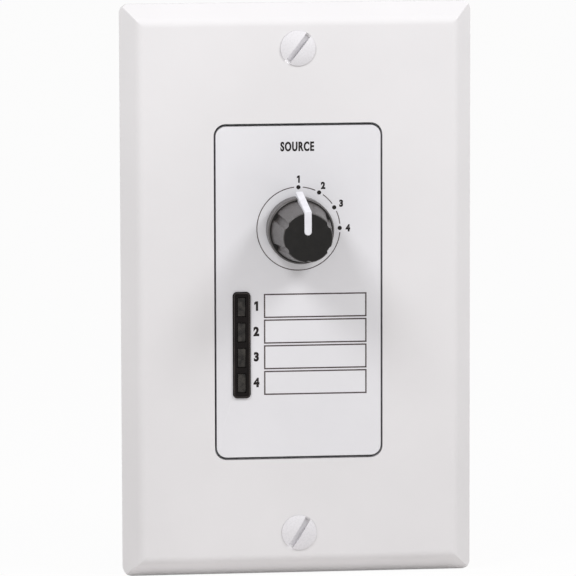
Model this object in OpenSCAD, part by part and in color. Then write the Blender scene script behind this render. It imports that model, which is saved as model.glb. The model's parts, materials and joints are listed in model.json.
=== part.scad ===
// Wall-mounted audio zone controller: a one-gang plate with a four-way source selector.
// Millimetres. The wall is the plane y = 0, the front faces -Y and +Z is up.

/* [Wall plate] */
// Width of the wall plate
plate_w = 69.85; // [66:0.05:90]
// Height of the wall plate
plate_h = 114.3; // [112:0.1:130]
// Height of the flat face above the wall
plate_face = 5.6; // [5.4:0.1:6.4]
// Height of the straight rim below the bevel
plate_rim = 1.6; // [1.2:0.1:2.2]
// Width of the bevel around the face
plate_bevel = 4.4; // [3.4:0.1:6]
// Radius that blends the bevel into the face
bevel_blend = 2.4; // [1.2:0.1:3]
// Wall thickness of the moulding
plate_skin = 2; // [1.6:0.1:2.3]
// Corner radius of the outline
plate_corner = 1.8; // [1:0.1:4]
// Width of the opening
opening_w = 33.6; // [33:0.1:38]
// Height of the opening
opening_h = 67.1; // [66:0.1:72]
// Corner radius of the opening
opening_corner = 2.4; // [1:0.1:4]

/* [Plate screws] */
// Distance of the plate screws from the plate's ends
plate_screw_inset = 8.75; // [8:0.05:16]
// Radius of the plate screw's thread
plate_screw_r = 1.75; // [1.5:0.05:2]
// Radius of the oval head
plate_head_r = 3.5; // [3:0.1:4]
// Height of the head's dome above the plate
plate_head_dome = 0.7; // [0.5:0.1:1.2]
// Depth of the head's countersunk cone
plate_head_cone = 1.6; // [1.2:0.1:1.9]
// Length below the plate's face
plate_screw_length = 12.7; // [9:0.1:16]
// Width of the driver slot
driver_slot_w = 1.1; // [0.8:0.1:1.4]
// Angle of the upper screw's slot, clockwise from upright
upper_slot_turn = 38; // [0:1:90]
// Angle of the lower screw's slot, clockwise from upright
lower_slot_turn = 32; // [0:1:90]

/* [Mounting strap] */
// Width of the strap
strap_w = 42; // [38:0.5:50]
// Length of the strap beyond the plate screws
strap_end = 4.6; // [4:0.1:5]
// Thickness of the strap
strap_t = 1.2; // [1:0.1:1.4]
// Corner radius of the strap
strap_corner = 3; // [1:0.5:6]
// Distance of the wall box screw holes from the plate screws
box_hole_inset = 6.73; // [6.2:0.01:7.4]
// Radius of the wall box screw holes
box_hole_r = 2.1; // [1.8:0.05:2.4]

/* [Front panel] */
// Gap between the panel and the plate's opening at the sides
panel_gap = 0.4; // [0.2:0.05:0.5]
// Gap between the panel and the plate's opening at the top and bottom
panel_end_gap = 0.55; // [0.2:0.05:0.7]
// Height of the panel's face above the plate's face
panel_proud = 0.1; // [0:0.05:0.5]
// Thickness of the panel's face
panel_t = 1.8; // [1.5:0.1:2]
// Thickness of the panel's side walls
panel_wall = 1.5; // [1.2:0.1:1.8]
// Radius of the four screw bosses
panel_boss_r = 2.2; // [2:0.1:2.5]
// Radius of the panel screw's thread
panel_screw_r = 1; // [0.8:0.05:1.2]

/* [Selector knob] */
// Height of the selector above the plate's centre
knob_up = 12.6; // [11.5:0.1:13.5]
// Gap between the knob and the panel
knob_lift = 0.7; // [0.4:0.1:1.2]
// Overall height of the knob
knob_h = 15.6; // [13:0.1:18]
// Radius of the skirt
knob_skirt_r = 6.55; // [6.2:0.05:7.4]
// Height of the skirt
knob_skirt_h = 4.3; // [3.6:0.1:5]
// Width of the ledge on top of the skirt
knob_ledge = 0.5; // [0.3:0.05:0.8]
// Radius of the flat cap
knob_cap_r = 4.9; // [4.6:0.05:5.2]
// Radius of the flutes
flute_r = 1; // [0.8:0.05:1.2]
// Distance from the axis to the floor of the flutes at the cap
flute_floor = 4.5; // [4.4:0.05:4.8]
// Depth of the flutes at the ledge
flute_depth = 0.55; // [0.3:0.05:0.9]
// Width of the pointer
pointer_w = 1.45; // [1:0.05:1.8]
// Distance from the axis to the pointer's outer end
pointer_reach = 7.55; // [7.2:0.05:8]

/* [Rotary switch] */
// Radius of the shaft
shaft_r = 3; // [2.8:0.05:3.1]
// Distance from the axis to the shaft's flat
shaft_flat = 1.5; // [1.3:0.1:1.8]
// Radius of the threaded bushing
bushing_r = 4.5; // [4.2:0.1:4.8]
// Width of the square switch body
switch_w = 16.5; // [16:0.1:18]
// Depth of the switch body, from the strap to the board
switch_d = 10; // [9:0.1:13]
// Turn between two positions
detent_step = 30; // [25:1:30]
// Width of the nut across its flats
nut_flats = 11; // [10.5:0.1:12]
// Thickness of the nut
nut_t = 1.6; // [1.2:0.1:1.8]
// Thickness of the lock washer
washer_t = 0.4; // [0.3:0.05:0.5]

/* [Indicators] */
// Distance of the indicators from the panel's left edge
led_left = 5; // [4.7:0.1:5.5]
// Distance of their middle below the plate's centre
led_down = 10.5; // [9.5:0.1:11.5]
// Distance between two indicators
led_pitch = 5.08; // [5.08:0.02:5.4]
// Width of an indicator's lens
led_w = 1.66; // [1.4:0.02:1.9]
// Height of an indicator's lens
led_h = 3.8; // [3.2:0.1:4]
// Width of the bezel
bezel_w = 3.45; // [3.2:0.05:3.8]
// Height of the bezel
bezel_h = 21.2; // [20.6:0.1:22.4]
// Height of the bezel above the panel
bezel_proud = 0.3; // [0.1:0.05:0.6]

/* [Circuit board] */
// Width of the board
board_w = 31; // [30.5:0.1:33]
// Height of the board
board_h = 62; // [61:0.5:68]
// Thickness of the board
board_t = 1.6; // [1.2:0.1:2]
// Distance of the lower standoffs from the board's side edges
standoff_inset_x = 6.5; // [6:0.1:7]
// Clearance between the upper board screws' heads and the address switch
screw_head_clear = 0.92; // [0.5:0.02:1.2]
// Distance of the standoffs from the board's end edges
standoff_inset_y = 5; // [4.5:0.1:5.5]
// Width of the standoffs across their flats
standoff_flats = 5; // [4.5:0.1:5.5]
// Radius of the board and strap screws' thread
small_screw_r = 1.22; // [1:0.02:1.3]

/* [Line jack] */
// Width of the jack
jack_w = 15.9; // [15.4:0.1:16.4]
// Height of the jack
jack_h = 14; // [13.8:0.1:15]
// Depth of the jack behind the board
jack_d = 14.5; // [13.5:0.1:18]
// Distance of the jack below the plate's centre
jack_down = 11; // [10.5:0.1:14]
// Width of the plug's opening
plug_w = 11.9; // [11.6:0.1:12.2]
// Height of the plug's opening
plug_h = 7; // [6.8:0.1:7.2]

/* [Address switch] */
// Height of the switch body
address_h = 6.2; // [6:0.1:6.6]
// Depth of the switch body behind the board
address_d = 4.4; // [4:0.1:5]
// Travel of a slider
slider_travel = 1.4; // [1:0.1:1.5]
// Distance between two sliders
slider_pitch = 2.54; // [2.54:0.02:2.8]

/* [Fits] */
// Radial clearance of the shaft in its bushing
running_gap = 0.05; // [0.02:0.01:0.1]
// Clearance of threads in their holes
thread_gap = 0.03; // [0.02:0.01:0.05]
// Clearance of pieces that are let into one another
inlay_gap = 0.05; // [0.02:0.01:0.08]
// Clearance of pieces that slide or pass through
slide_gap = 0.1; // [0.08:0.01:0.15]

/* [Hidden] */
$fn = 64;

// Amount by which a cut runs past the face that it opens
past = 1;

// Heights in front of the wall
panel_face = plate_face + panel_proud;
panel_back = panel_face - panel_t;
plate_back = plate_face - plate_skin;
knob_foot = panel_face + knob_lift;

// Plate moulding
rim_drop = 1;
blend_drop = 0.9;
inner_rim = plate_rim - rim_drop;
inner_blend = bevel_blend - blend_drop;
plate_screw_pitch = plate_h - 2 * plate_screw_inset;
box_hole_pitch = plate_screw_pitch - 2 * box_hole_inset;
strap_h = plate_screw_pitch + 2 * strap_end;
plate_clear = 0.3;
lip_t = 1.3;
rib_t = 1.2;
rib_pitch = 22;
rib_foot = 2;
screw_boss_r = 5.2;
plate_hole_r = plate_screw_r + slide_gap;
driver_slot_d = 1.4;
plate_head_rim = 0.2;

// Front panel
panel_w = opening_w - 2 * panel_gap;
panel_h = opening_h - 2 * panel_end_gap;
panel_corner = opening_corner - panel_gap;
boss_merge = 0.6;
panel_boss_x = panel_w / 2 - panel_wall - panel_boss_r + boss_merge;
panel_boss_y = panel_h / 2 - panel_wall - panel_boss_r + boss_merge;
panel_hole_gap = 0.5;
panel_hole_r = shaft_r + panel_hole_gap;
screw_end_gap = 0.3;
panel_screw_depth = panel_back - screw_end_gap;
panel_pilot_end = panel_back + screw_end_gap;
small_head = 1;
small_head_r = 2.1;

// Rotary switch, in depths behind the strap
positions = 4;
frame_t = 2.6;
base_floor = 1;
base_w = switch_w - 2 * slide_gap;
tab_t = 0.5;
tab_w = 5;
base_wall = 0.95;
cavity_r = switch_w / 2 - base_wall;
floor_z = base_floor - switch_d;
bushing_past = 0.2;
bushing_top = strap_t + washer_t + nut_t + bushing_past;
clip_t = 0.5;
clip_r = 4.1;
clip_top = -frame_t - slide_gap;
groove_d = 0.6;
groove_r = shaft_r - groove_d;
rotor_gap = 0.7;
rotor_drop = 0.9;
rotor_r = cavity_r - rotor_gap;
rotor_top = clip_top - clip_t - rotor_drop;
contact_clear = 0.1;
dimple_r = 0.35;
rotor_bottom = floor_z + contact_clear + dimple_r;
rotor_mid = (rotor_top + rotor_bottom) / 2;
ball_r = 1;
ball_clear = 0.3;
ball_out = cavity_r - ball_clear - ball_r;
notch_r = 1.25;
notch_depth = 0.3;
spring_wall = 0.75;
spring_short = 0.95;
spring_in = shaft_r + spring_wall;
spring_out = ball_out - spring_short;
spring_coil_r = 0.7;
spring_wire_r = 0.14;
spring_curls = 2;
contact_out = 5.2;
contact_r = 0.8;
contact_t = 0.3;
pin_w = 0.6;
pin_past = 1.6;
lug_w = 2.4;
lug_t = 1;
lug_out = 6.6;

// Knob
knob_base_r = knob_skirt_r - knob_ledge;
knob_edge = 0.3;
cap_edge = 0.2;
cap_t = 2.4;
skirt_wall = 1.2;
skirt_web = 1.4;
shaft_top = knob_h - cap_t;
recess_r = knob_base_r - skirt_wall;
recess_h = knob_skirt_h - skirt_web;
leaf_t = 0.4;
leaf_w = 3.2;
leaf_h = 8;
pointer_d = 0.9;
pointer_proud = 0.06;
pointer_start = 1.2;
pointer_foot = 0.6;
pointer_let_in = 0.7;
pointer_bed = 0.8;
pointer_brow = 0.3;
flute_count = 6;
flute_lean = atan((knob_base_r - flute_depth - flute_floor) / (knob_h - knob_skirt_h));

// Indicators
led_x = led_left - panel_w / 2;
led_y = -led_down;
led_count = positions;
led_seat = -1;
led_base_t = 1.2;
led_flange_x = 0.4;
led_flange_y = 0.5;
led_sink = 0.2;
led_base_w = led_w + 2 * led_flange_x;
led_base_h = led_h + 2 * led_flange_y;
led_top = panel_face + bezel_proud - led_sink;
lead_w = 0.5;
lead_pitch = 2.54;
bezel_corner = 0.8;
bezel_flange = 0.6;
bezel_flange_t = 0.8;
bezel_rim = 0.45;
bezel_dip = 0.15;
spacer_wall = 0.75;
spacer_end = 0.3;
led_slot_gap = 0.8;
led_slot_end = 0.3;
led_row_h = (led_count - 1) * led_pitch + led_base_h;
spacer_w = led_base_w + 2 * spacer_wall;
spacer_h = led_row_h + 2 * spacer_end;

// Circuit board
board_front = -switch_d;
board_rear = board_front - board_t;
board_corner = 1.5;
low_standoff_x = board_w / 2 - standoff_inset_x;
standoff_y = board_h / 2 - standoff_inset_y;
small_hole_r = small_screw_r + slide_gap;
small_screw_grip = 3.6;
pan_head_r = 2.3;
pan_head_h = 1.5;
lead_hole_r = 0.5;

// Line jack
jack_floor = 2.5;
plug_low = -4.2;
latch_w = 6.3;
latch_h = 2.2;
contact_count = 8;
contact_pitch = 1.02;
wire_w = 0.4;
wire_t = 0.35;
wire_slot_w = wire_w + 2 * slide_gap;
plug_high = plug_low + plug_h;
wire_row = 1.4;
wire_leg_gap = 1.4;
wire_leg_y = plug_high + wire_leg_gap;
wire_bend_gap = 1.9;
wire_bend = jack_d - wire_bend_gap;
wire_bend_lift = 0.2;
wire_bend_y = plug_high + wire_bend_lift;
wire_dip = 2.3;
wire_tip_y = plug_high - wire_dip;
wire_tip_gap = 2.5;
wire_tip_d = jack_floor + wire_tip_gap;
peg_r = 1.5;
peg_x = 5.7;
peg_y = -2.5;

// Address switch
slider_count = 4;
address_end = 0.7;
address_w = slider_count * slider_pitch + 2 * address_end;
stem_w = 1.1;
stem_h = 1.5;
foot_w = 1.7;
foot_h = 2.3;
foot_t = 1;
cover_t = 0.8;
stem_proud = 0.7;
address_pin_out = 0.7;
address_row = address_h / 2 + address_pin_out;
address_clear = 0.9;
address_up = knob_up + switch_w / 2 + address_row + address_clear;
address_pin_w = 0.6;
address_pin_t = 0.25;

// Chips and small parts, placed from the board's edges
chip_inset = 4.3;
chip_x = board_w / 2 - chip_inset;
chip_y = 4;
chip_w = 3.9;
chip_h = 8.7;
chip_t = 1.4;
chip_lift = 0.15;
chip_pin_pitch = 1.27;
chip_pin_count = 7;
chip_pin_w = 0.42;
regulator_y = 14.5;
regulator_w = 3.5;
regulator_h = 6.5;
regulator_t = 1.6;
regulator_pitch = 2.3;
regulator_leg_w = 0.7;
regulator_tab_w = 3;
gull_t = 0.2;
gull_reach = 1.1;
capacitor_inset = 4.4;
capacitor_x = capacitor_inset - board_w / 2;
capacitor_y = 13;
capacitor_w = 6.6;
capacitor_base_t = 0.9;
capacitor_r = 3.1;
capacitor_h = 6.4;
crystal_inset = 3.3;
crystal_x = board_w / 2 - crystal_inset;
crystal_y = -jack_down;
crystal_r = 2.2;
crystal_run = 6.4;
crystal_t = 3.4;
crystal_flange = 0.3;
crystal_flange_t = 0.4;
small_l = 2;
small_w = 1.25;
resistor_t = 0.5;
ceramic_t = 0.9;
edge_inset = 1.9;
edge_row_x = board_w / 2 - edge_inset;
edge_row_low = 20.4;
edge_row_pitch = 2.2;
edge_row_count = 4;
edge_rows = [for (i = [0 : edge_row_count - 1]) edge_row_low + i * edge_row_pitch];

switch_turns = [for (i = [0 : positions - 1]) i * detent_step];
contact_spots = concat([[0, 0]], [for (t = switch_turns) [contact_out * sin(t), contact_out * cos(t)]]);
led_spots = [for (i = [0 : led_count - 1]) led_y + ((led_count - 1) / 2 - i) * led_pitch];
contact_steps = [for (i = [0 : contact_count - 1]) i - (contact_count - 1) / 2];
slider_steps = [for (i = [0 : slider_count - 1]) i - (slider_count - 1) / 2];
chip_steps = [for (i = [0 : chip_pin_count - 1]) i - (chip_pin_count - 1) / 2];
high_standoff_x = address_w / 2 + pan_head_r + screw_head_clear;
strap_corners = [
    for (s = [-1, 1]) [s * low_standoff_x, -standoff_y],
    for (s = [-1, 1]) [s * high_standoff_x, standoff_y]
];
panel_corners = [for (sx = [-1, 1], sy = [-1, 1]) [sx * panel_boss_x, sy * panel_boss_y]];

// Stands the work up: drawn with y up and z out of the wall
module stand() {
    rotate([90, 0, 0]) children();
}

// Work drawn with z out of the board's rear face
module behind_board() {
    translate([0, 0, board_rear]) mirror([0, 0, 1]) children();
}

// Work drawn round the selector's axis
module on_axis() {
    translate([0, knob_up, 0]) children();
}

// A flat outline drawn in depth and height, spread across the width
module across(w) {
    rotate([90, 0, 90]) linear_extrude(height = w, center = true) children();
}

module rounded(w, h, r) {
    union() {
        square([w - 2 * r, h], center = true);
        square([w, h - 2 * r], center = true);
        for (sx = [-1, 1], sy = [-1, 1]) {
            translate([sx * (w / 2 - r), sy * (h / 2 - r)]) circle(r);
        }
    }
}

module slab(w, h, r, low, high) {
    translate([0, 0, low]) linear_extrude(height = high - low) rounded(w, h, r);
}

module block(w, h, low, high) {
    translate([-w / 2, -h / 2, low]) cube([w, h, high - low]);
}

module rod(r, low, high) {
    translate([0, 0, low]) cylinder(r = r, h = high - low);
}

// Half of the plate's section: foot, rim, bevel and the arc that blends into the face
function bevel_side(half, face, rim, bevel, blend, foot) =
    let (
        across_x = bevel,
        across_z = rim - face + blend,
        reach = norm([across_x, across_z]),
        arc_start = atan2(across_z, across_x) + acos(blend / reach),
        steps = 8
    )
    concat([[half, foot], [half, rim]],
        [for (i = [0 : steps])
            let (turn = arc_start + (90 - arc_start) * i / steps)
            [half - bevel + blend * cos(turn), face - blend + blend * sin(turn)]]);

module bevel_section(half, face, rim, bevel, blend, foot) {
    side = bevel_side(half, face, rim, bevel, blend, foot);
    count = len(side);
    polygon(concat(side, [for (i = [count - 1 : -1 : 0]) [-side[i][0], side[i][1]]]));
}

// A pillow with the bevelled section along both of its directions
module bevelled(w, h, face, rim, bevel, blend, foot, r) {
    intersection() {
        rotate([90, 0, 0]) linear_extrude(height = h + 2 * past, center = true)
            bevel_section(w / 2, face, rim, bevel, blend, foot);
        across(w + 2 * past) bevel_section(h / 2, face, rim, bevel, blend, foot);
        slab(w, h, r, foot - past, face + past);
    }
}

module wall_plate() {
    inner_w = plate_w - 2 * plate_skin;
    inner_h = plate_h - 2 * plate_skin;
    clear_of_strap = strap_t + plate_clear;
    color("white") stand() difference() {
        union() {
            difference() {
                bevelled(plate_w, plate_h, plate_face, plate_rim, plate_bevel, bevel_blend, 0, plate_corner);
                bevelled(inner_w, inner_h, plate_back, inner_rim, plate_bevel, inner_blend, -past,
                    plate_corner / 2);
            }
            slab(opening_w + 2 * lip_t, opening_h + 2 * lip_t, opening_corner + lip_t, clear_of_strap,
                plate_face - past);
            for (s = [-1, 1]) {
                translate([0, s * plate_screw_pitch / 2])
                    rod(screw_boss_r, clear_of_strap, plate_face - past);
            }
            for (row = [-1 : 1], s = [-1, 1]) {
                rib_l = (plate_w - opening_w) / 2 - plate_bevel;
                translate([s * (opening_w + rib_l) / 2, row * rib_pitch])
                    block(rib_l, rib_t, rib_foot, plate_face - past);
            }
        }
        slab(opening_w, opening_h, opening_corner, -past, plate_face + past);
        for (s = [-1, 1]) {
            translate([0, s * plate_screw_pitch / 2]) {
                rod(plate_hole_r, -past, plate_face + past);
                translate([0, 0, plate_face - plate_head_cone])
                    cylinder(r1 = plate_hole_r, r2 = plate_head_r + inlay_gap, h = plate_head_cone);
            }
        }
    }
}

module plate_screw(turn) {
    dome_r = (pow(plate_head_r, 2) + pow(plate_head_dome, 2)) / (2 * plate_head_dome);
    cone_foot = plate_face - plate_head_cone;
    head_top = plate_face + plate_head_rim + plate_head_dome;
    difference() {
        union() {
            rod(plate_screw_r, plate_face - plate_screw_length, cone_foot + inlay_gap);
            translate([0, 0, cone_foot]) cylinder(r1 = plate_screw_r, r2 = plate_head_r, h = plate_head_cone);
            intersection() {
                translate([0, 0, head_top - dome_r]) sphere(dome_r);
                rod(plate_head_r, plate_face, head_top + past);
            }
        }
        rotate([0, 0, -turn])
            block(driver_slot_w, 2 * plate_head_r + past, head_top - driver_slot_d, head_top + past);
    }
}

module plate_screws() {
    color("ghostwhite") stand() {
        translate([0, plate_screw_pitch / 2]) plate_screw(upper_slot_turn);
        translate([0, -plate_screw_pitch / 2]) plate_screw(lower_slot_turn);
    }
}

// Countersunk seat of a small screw, with its head's face at the given height
module small_seat(hole_r, head_r, head_face, down) {
    translate([0, 0, head_face]) mirror([0, 0, down ? 1 : 0]) {
        rod(hole_r, -past, strap_t + past);
        cylinder(r1 = head_r, r2 = hole_r, h = small_head);
    }
}

module mounting_strap() {
    collar_h = 1.6;
    collar_wall = 1.3;
    collar_r = plate_screw_r + collar_wall;
    color("silver") stand() difference() {
        union() {
            slab(strap_w, strap_h, strap_corner, 0, strap_t);
            for (s = [-1, 1]) {
                translate([0, s * plate_screw_pitch / 2]) rod(collar_r, -collar_h, strap_t / 2);
            }
        }
        for (s = [-1, 1]) {
            translate([0, s * plate_screw_pitch / 2])
                rod(plate_screw_r + thread_gap, -collar_h - past, strap_t + past);
            translate([0, s * box_hole_pitch / 2]) rod(box_hole_r, -past, strap_t + past);
        }
        for (p = strap_corners) {
            translate(p) small_seat(small_hole_r, small_head_r + inlay_gap, strap_t, true);
        }
        for (p = panel_corners) {
            translate(p) small_seat(panel_screw_r + slide_gap, small_head_r + inlay_gap, 0, false);
        }
        on_axis() rod(bushing_r + slide_gap, -past, strap_t + past);
        on_axis() translate([-lug_out, 0])
            block(lug_t + 2 * slide_gap, lug_w + 2 * slide_gap, -past, strap_t + past);
        translate([led_x, led_y])
            block(led_base_w + 2 * led_slot_gap, spacer_h + 2 * led_slot_end, -past, strap_t + past);
    }
}

module front_panel() {
    hollow_w = panel_w - 2 * panel_wall;
    hollow_h = panel_h - 2 * panel_wall;
    color("whitesmoke") stand() difference() {
        union() {
            difference() {
                slab(panel_w, panel_h, panel_corner, strap_t, panel_face);
                slab(hollow_w, hollow_h, panel_corner / 2, strap_t - past, panel_back);
            }
            for (p = panel_corners) {
                translate(p) rod(panel_boss_r, strap_t, panel_face - past);
            }
        }
        for (p = panel_corners) {
            translate(p) rod(panel_screw_r + thread_gap, strap_t - past, panel_pilot_end);
        }
        on_axis() rod(panel_hole_r, panel_back - past, panel_face + past);
        translate([led_x, led_y]) slab(bezel_w + 2 * inlay_gap, bezel_h + 2 * inlay_gap,
            bezel_corner + inlay_gap, panel_back - past, panel_face + past);
    }
}

// A countersunk screw with its head's face at zero and its thread upwards
module small_screw(r, length) {
    recess_w = 1.5;
    recess_d = 0.5;
    difference() {
        union() {
            cylinder(r1 = small_head_r, r2 = r, h = small_head);
            rod(r, small_head / 2, length);
        }
        rod(recess_w / 2, -past, recess_d);
    }
}

module panel_screws() {
    color("dimgray") stand() for (p = panel_corners) {
        translate(p) small_screw(panel_screw_r, panel_screw_depth);
    }
}

module indicator_bezel() {
    color("black") stand() translate([led_x, led_y]) difference() {
        union() {
            slab(bezel_w, bezel_h, bezel_corner, panel_back - bezel_flange_t, panel_face + bezel_proud);
            slab(bezel_w + 2 * bezel_flange, bezel_h + 2 * bezel_flange, bezel_corner,
                panel_back - bezel_flange_t, panel_back);
        }
        slab(bezel_w - 2 * bezel_rim, bezel_h - 2 * bezel_rim, bezel_corner / 2,
            panel_face + bezel_proud - bezel_dip, panel_face + bezel_proud + past);
        for (y = led_spots) {
            translate([0, y - led_y]) block(led_w + 2 * inlay_gap, led_h + 2 * inlay_gap,
                panel_back - bezel_flange_t - past, panel_face + bezel_proud + past);
        }
    }
}

module led(i) {
    color("darkslategray") stand() translate([led_x, led_spots[i]]) {
        block(led_base_w, led_base_h, led_seat, led_seat + led_base_t);
        block(led_w, led_h, led_seat + led_base_t / 2, led_top);
    }
}

module led_leads() {
    color("silver") stand() for (y = led_spots, s = [-1, 1]) {
        translate([led_x, y + s * lead_pitch / 2]) block(lead_w, lead_w, board_rear - pin_past, led_seat);
    }
}

module led_spacer() {
    color("black") stand() difference() {
        translate([led_x, led_y]) block(spacer_w, spacer_h, board_front, led_seat);
        for (y = led_spots, s = [-1, 1]) {
            translate([led_x, y + s * lead_pitch / 2])
                rod(lead_hole_r - inlay_gap, board_front - past, led_seat + past);
        }
    }
}

// Shaft section with its flat facing down
module shaft_outline(r, flat) {
    intersection() {
        circle(r);
        translate([-2 * r, -flat]) square([4 * r, 4 * r]);
    }
}

function pointer_outline(gap, outward) = [
    [pointer_start, knob_h - pointer_d - gap],
    [knob_cap_r - pointer_bed - gap, knob_h - pointer_d - gap],
    [knob_skirt_r - pointer_let_in - gap, pointer_foot - gap],
    [pointer_reach + outward, pointer_foot - gap],
    [knob_cap_r + pointer_brow + outward, knob_h + pointer_proud + outward],
    [pointer_start, knob_h + pointer_proud + outward]
];

module pointer_solid(gap, outward) {
    across(pointer_w + 2 * gap) polygon(pointer_outline(gap, outward));
    translate([0, pointer_start])
        rod(pointer_w / 2 + gap, knob_h - pointer_d - gap, knob_h + pointer_proud + outward);
}

// Tapered grip with a flute at every place but the pointer's
module fluted_grip() {
    foot = knob_skirt_h - knob_edge;
    difference() {
        union() {
            translate([0, 0, foot]) cylinder(r1 = knob_base_r, r2 = knob_cap_r, h = knob_h - cap_edge - foot);
            translate([0, 0, knob_h - cap_edge])
                cylinder(r1 = knob_cap_r, r2 = knob_cap_r - cap_edge, h = cap_edge);
        }
        for (i = [1 : flute_count - 1]) {
            rotate([0, 0, i * 360 / flute_count]) translate([0, flute_floor + flute_r, knob_h])
                rotate([flute_lean, 0, 0]) rod(flute_r, -knob_h, flute_r);
        }
    }
}

module selector_knob() {
    color("dimgray") stand() on_axis() translate([0, 0, knob_foot]) difference() {
        union() {
            rod(knob_skirt_r, 0, knob_skirt_h - knob_edge);
            translate([0, 0, knob_skirt_h - knob_edge])
                cylinder(r1 = knob_skirt_r, r2 = knob_skirt_r - knob_edge, h = knob_edge);
            fluted_grip();
        }
        translate([0, 0, -past]) linear_extrude(height = shaft_top + slide_gap + past)
            shaft_outline(shaft_r + thread_gap, shaft_flat + leaf_t + 2 * thread_gap);
        rod(recess_r, -past, recess_h);
        pointer_solid(inlay_gap, past);
    }
}

module knob_pointer() {
    color("white") stand() on_axis() translate([0, 0, knob_foot]) pointer_solid(0, 0);
}

module knob_clip() {
    color("silver") stand() on_axis()
        translate([-leaf_w / 2, -shaft_flat - thread_gap - leaf_t, knob_foot + shaft_top - leaf_h])
        cube([leaf_w, leaf_t, leaf_h]);
}

module switch_shaft() {
    end = knob_foot + shaft_top;
    flat_start = knob_foot + recess_h;
    color("lightgray") stand() on_axis() difference() {
        union() {
            rod(shaft_r, rotor_top, flat_start);
            translate([0, 0, rotor_bottom]) linear_extrude(height = rotor_top - rotor_bottom)
                shaft_outline(shaft_r, shaft_flat);
            translate([0, 0, flat_start]) linear_extrude(height = end - flat_start)
                shaft_outline(shaft_r, shaft_flat);
        }
        difference() {
            rod(shaft_r + past, clip_top - clip_t - inlay_gap, clip_top + inlay_gap);
            rod(groove_r, clip_top - clip_t - past, clip_top + past);
        }
    }
}

module shaft_clip() {
    mouth = 2 * groove_r - 0.6;
    color("silver") stand() on_axis() difference() {
        rod(clip_r, clip_top - clip_t, clip_top);
        rod(groove_r + inlay_gap, clip_top - clip_t - past, clip_top + past);
        translate([0, -clip_r]) block(mouth, 2 * clip_r, clip_top - clip_t - past, clip_top + past);
    }
}

// Pocket or piece that lies along the ball's radius, towards the bottom
module toward_ball(from) {
    translate([0, -from, rotor_mid]) rotate([90, 0, 0]) children();
}

module switch_rotor() {
    color("saddlebrown") stand() on_axis() difference() {
        rod(rotor_r, rotor_bottom, rotor_top);
        translate([0, 0, rotor_bottom - past]) linear_extrude(height = rotor_top - rotor_bottom + 2 * past)
            shaft_outline(shaft_r + inlay_gap, shaft_flat + inlay_gap);
        toward_ball(spring_in - spring_wire_r - inlay_gap) cylinder(r = ball_r + inlay_gap, h = rotor_r);
    }
}

module detent_ball() {
    color("gainsboro") stand() on_axis() translate([0, -ball_out, rotor_mid]) sphere(ball_r);
}

function coil_ring(turn, along) = [
    for (k = [0 : 5])
        let (reach = spring_coil_r + spring_wire_r * cos(60 * k))
        [reach * cos(turn), reach * sin(turn), along + spring_wire_r * sin(60 * k)]
];

module detent_spring() {
    steps = 12 * spring_curls;
    rings = [for (i = [0 : steps]) coil_ring(30 * i, (spring_out - spring_in) * i / steps)];
    points = [for (ring = rings) each ring];
    walls = [for (i = [0 : steps - 1], k = [0 : 5])
        let (a = 6 * i + k, b = 6 * i + (k + 1) % 6)
        each [[a, a + 6, b], [b, a + 6, b + 6]]];
    last = 6 * steps;
    caps = [for (k = [1 : 4]) each [[0, k, k + 1], [last, last + k + 1, last + k]]];
    color("silver") stand() on_axis() toward_ball(spring_in)
        polyhedron(points = points, faces = concat(walls, caps), convexity = 6);
}

module switch_wiper() {
    leaf = 0.2;
    wiper_w = 1.6;
    color("goldenrod") stand() on_axis() {
        translate([-wiper_w / 2, -wiper_w / 2, rotor_bottom - leaf])
            cube([wiper_w, contact_out + wiper_w, leaf]);
        for (out = [0, contact_out]) {
            translate([0, out, rotor_bottom]) intersection() {
                sphere(dimple_r);
                block(wiper_w, wiper_w, -dimple_r, -leaf / 2);
            }
        }
    }
}

module switch_frame() {
    color("lightsteelblue") stand() on_axis() difference() {
        union() {
            block(switch_w, switch_w, -frame_t, 0);
            rod(bushing_r, -frame_t / 2, bushing_top);
            translate([-lug_out, 0]) block(lug_t, lug_w, -frame_t / 2, strap_t - slide_gap);
            for (s = [-1, 1]) {
                translate([s * (switch_w + tab_t) / 2, 0]) block(tab_t, tab_w, floor_z, 0);
            }
        }
        rod(shaft_r + running_gap, -frame_t - past, bushing_top + past);
    }
}

module switch_washer() {
    notches = 12;
    washer_r = bushing_r + 1.7;
    color("silver") stand() on_axis() difference() {
        rod(washer_r, strap_t, strap_t + washer_t);
        rod(bushing_r + slide_gap, strap_t - past, strap_t + washer_t + past);
        for (i = [0 : notches - 1]) {
            rotate([0, 0, (i + 0.5) * 360 / notches]) translate([0, washer_r])
                block(0.7, 1.6, strap_t - past, strap_t + washer_t + past);
        }
    }
}

module switch_nut() {
    low = strap_t + washer_t;
    color("silver") stand() on_axis() difference() {
        translate([0, 0, low]) cylinder(r = nut_flats / sqrt(3), h = nut_t, $fn = 6);
        rod(bushing_r + thread_gap, low - past, low + nut_t + past);
    }
}

module switch_base() {
    notches = 12;
    color("sienna") stand() on_axis() difference() {
        block(base_w, base_w, -switch_d, -frame_t);
        translate([0, 0, floor_z]) linear_extrude(height = switch_d) union() {
            circle(cavity_r);
            for (i = [0 : notches - 1]) {
                rotate(i * 360 / notches) translate([0, cavity_r + notch_depth - notch_r]) circle(notch_r);
            }
        }
        for (p = contact_spots) {
            translate(p) {
                rod(contact_r + inlay_gap, floor_z - contact_t, floor_z + past);
                block(pin_w + 2 * slide_gap, pin_w + 2 * slide_gap, -switch_d - past, floor_z);
            }
        }
    }
}

module switch_terminals() {
    color("goldenrod") stand() on_axis() for (p = contact_spots) {
        translate(p) {
            rod(contact_r, floor_z - contact_t, floor_z);
            block(pin_w, pin_w, board_rear - pin_past, floor_z - contact_t / 2);
        }
    }
}

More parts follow.
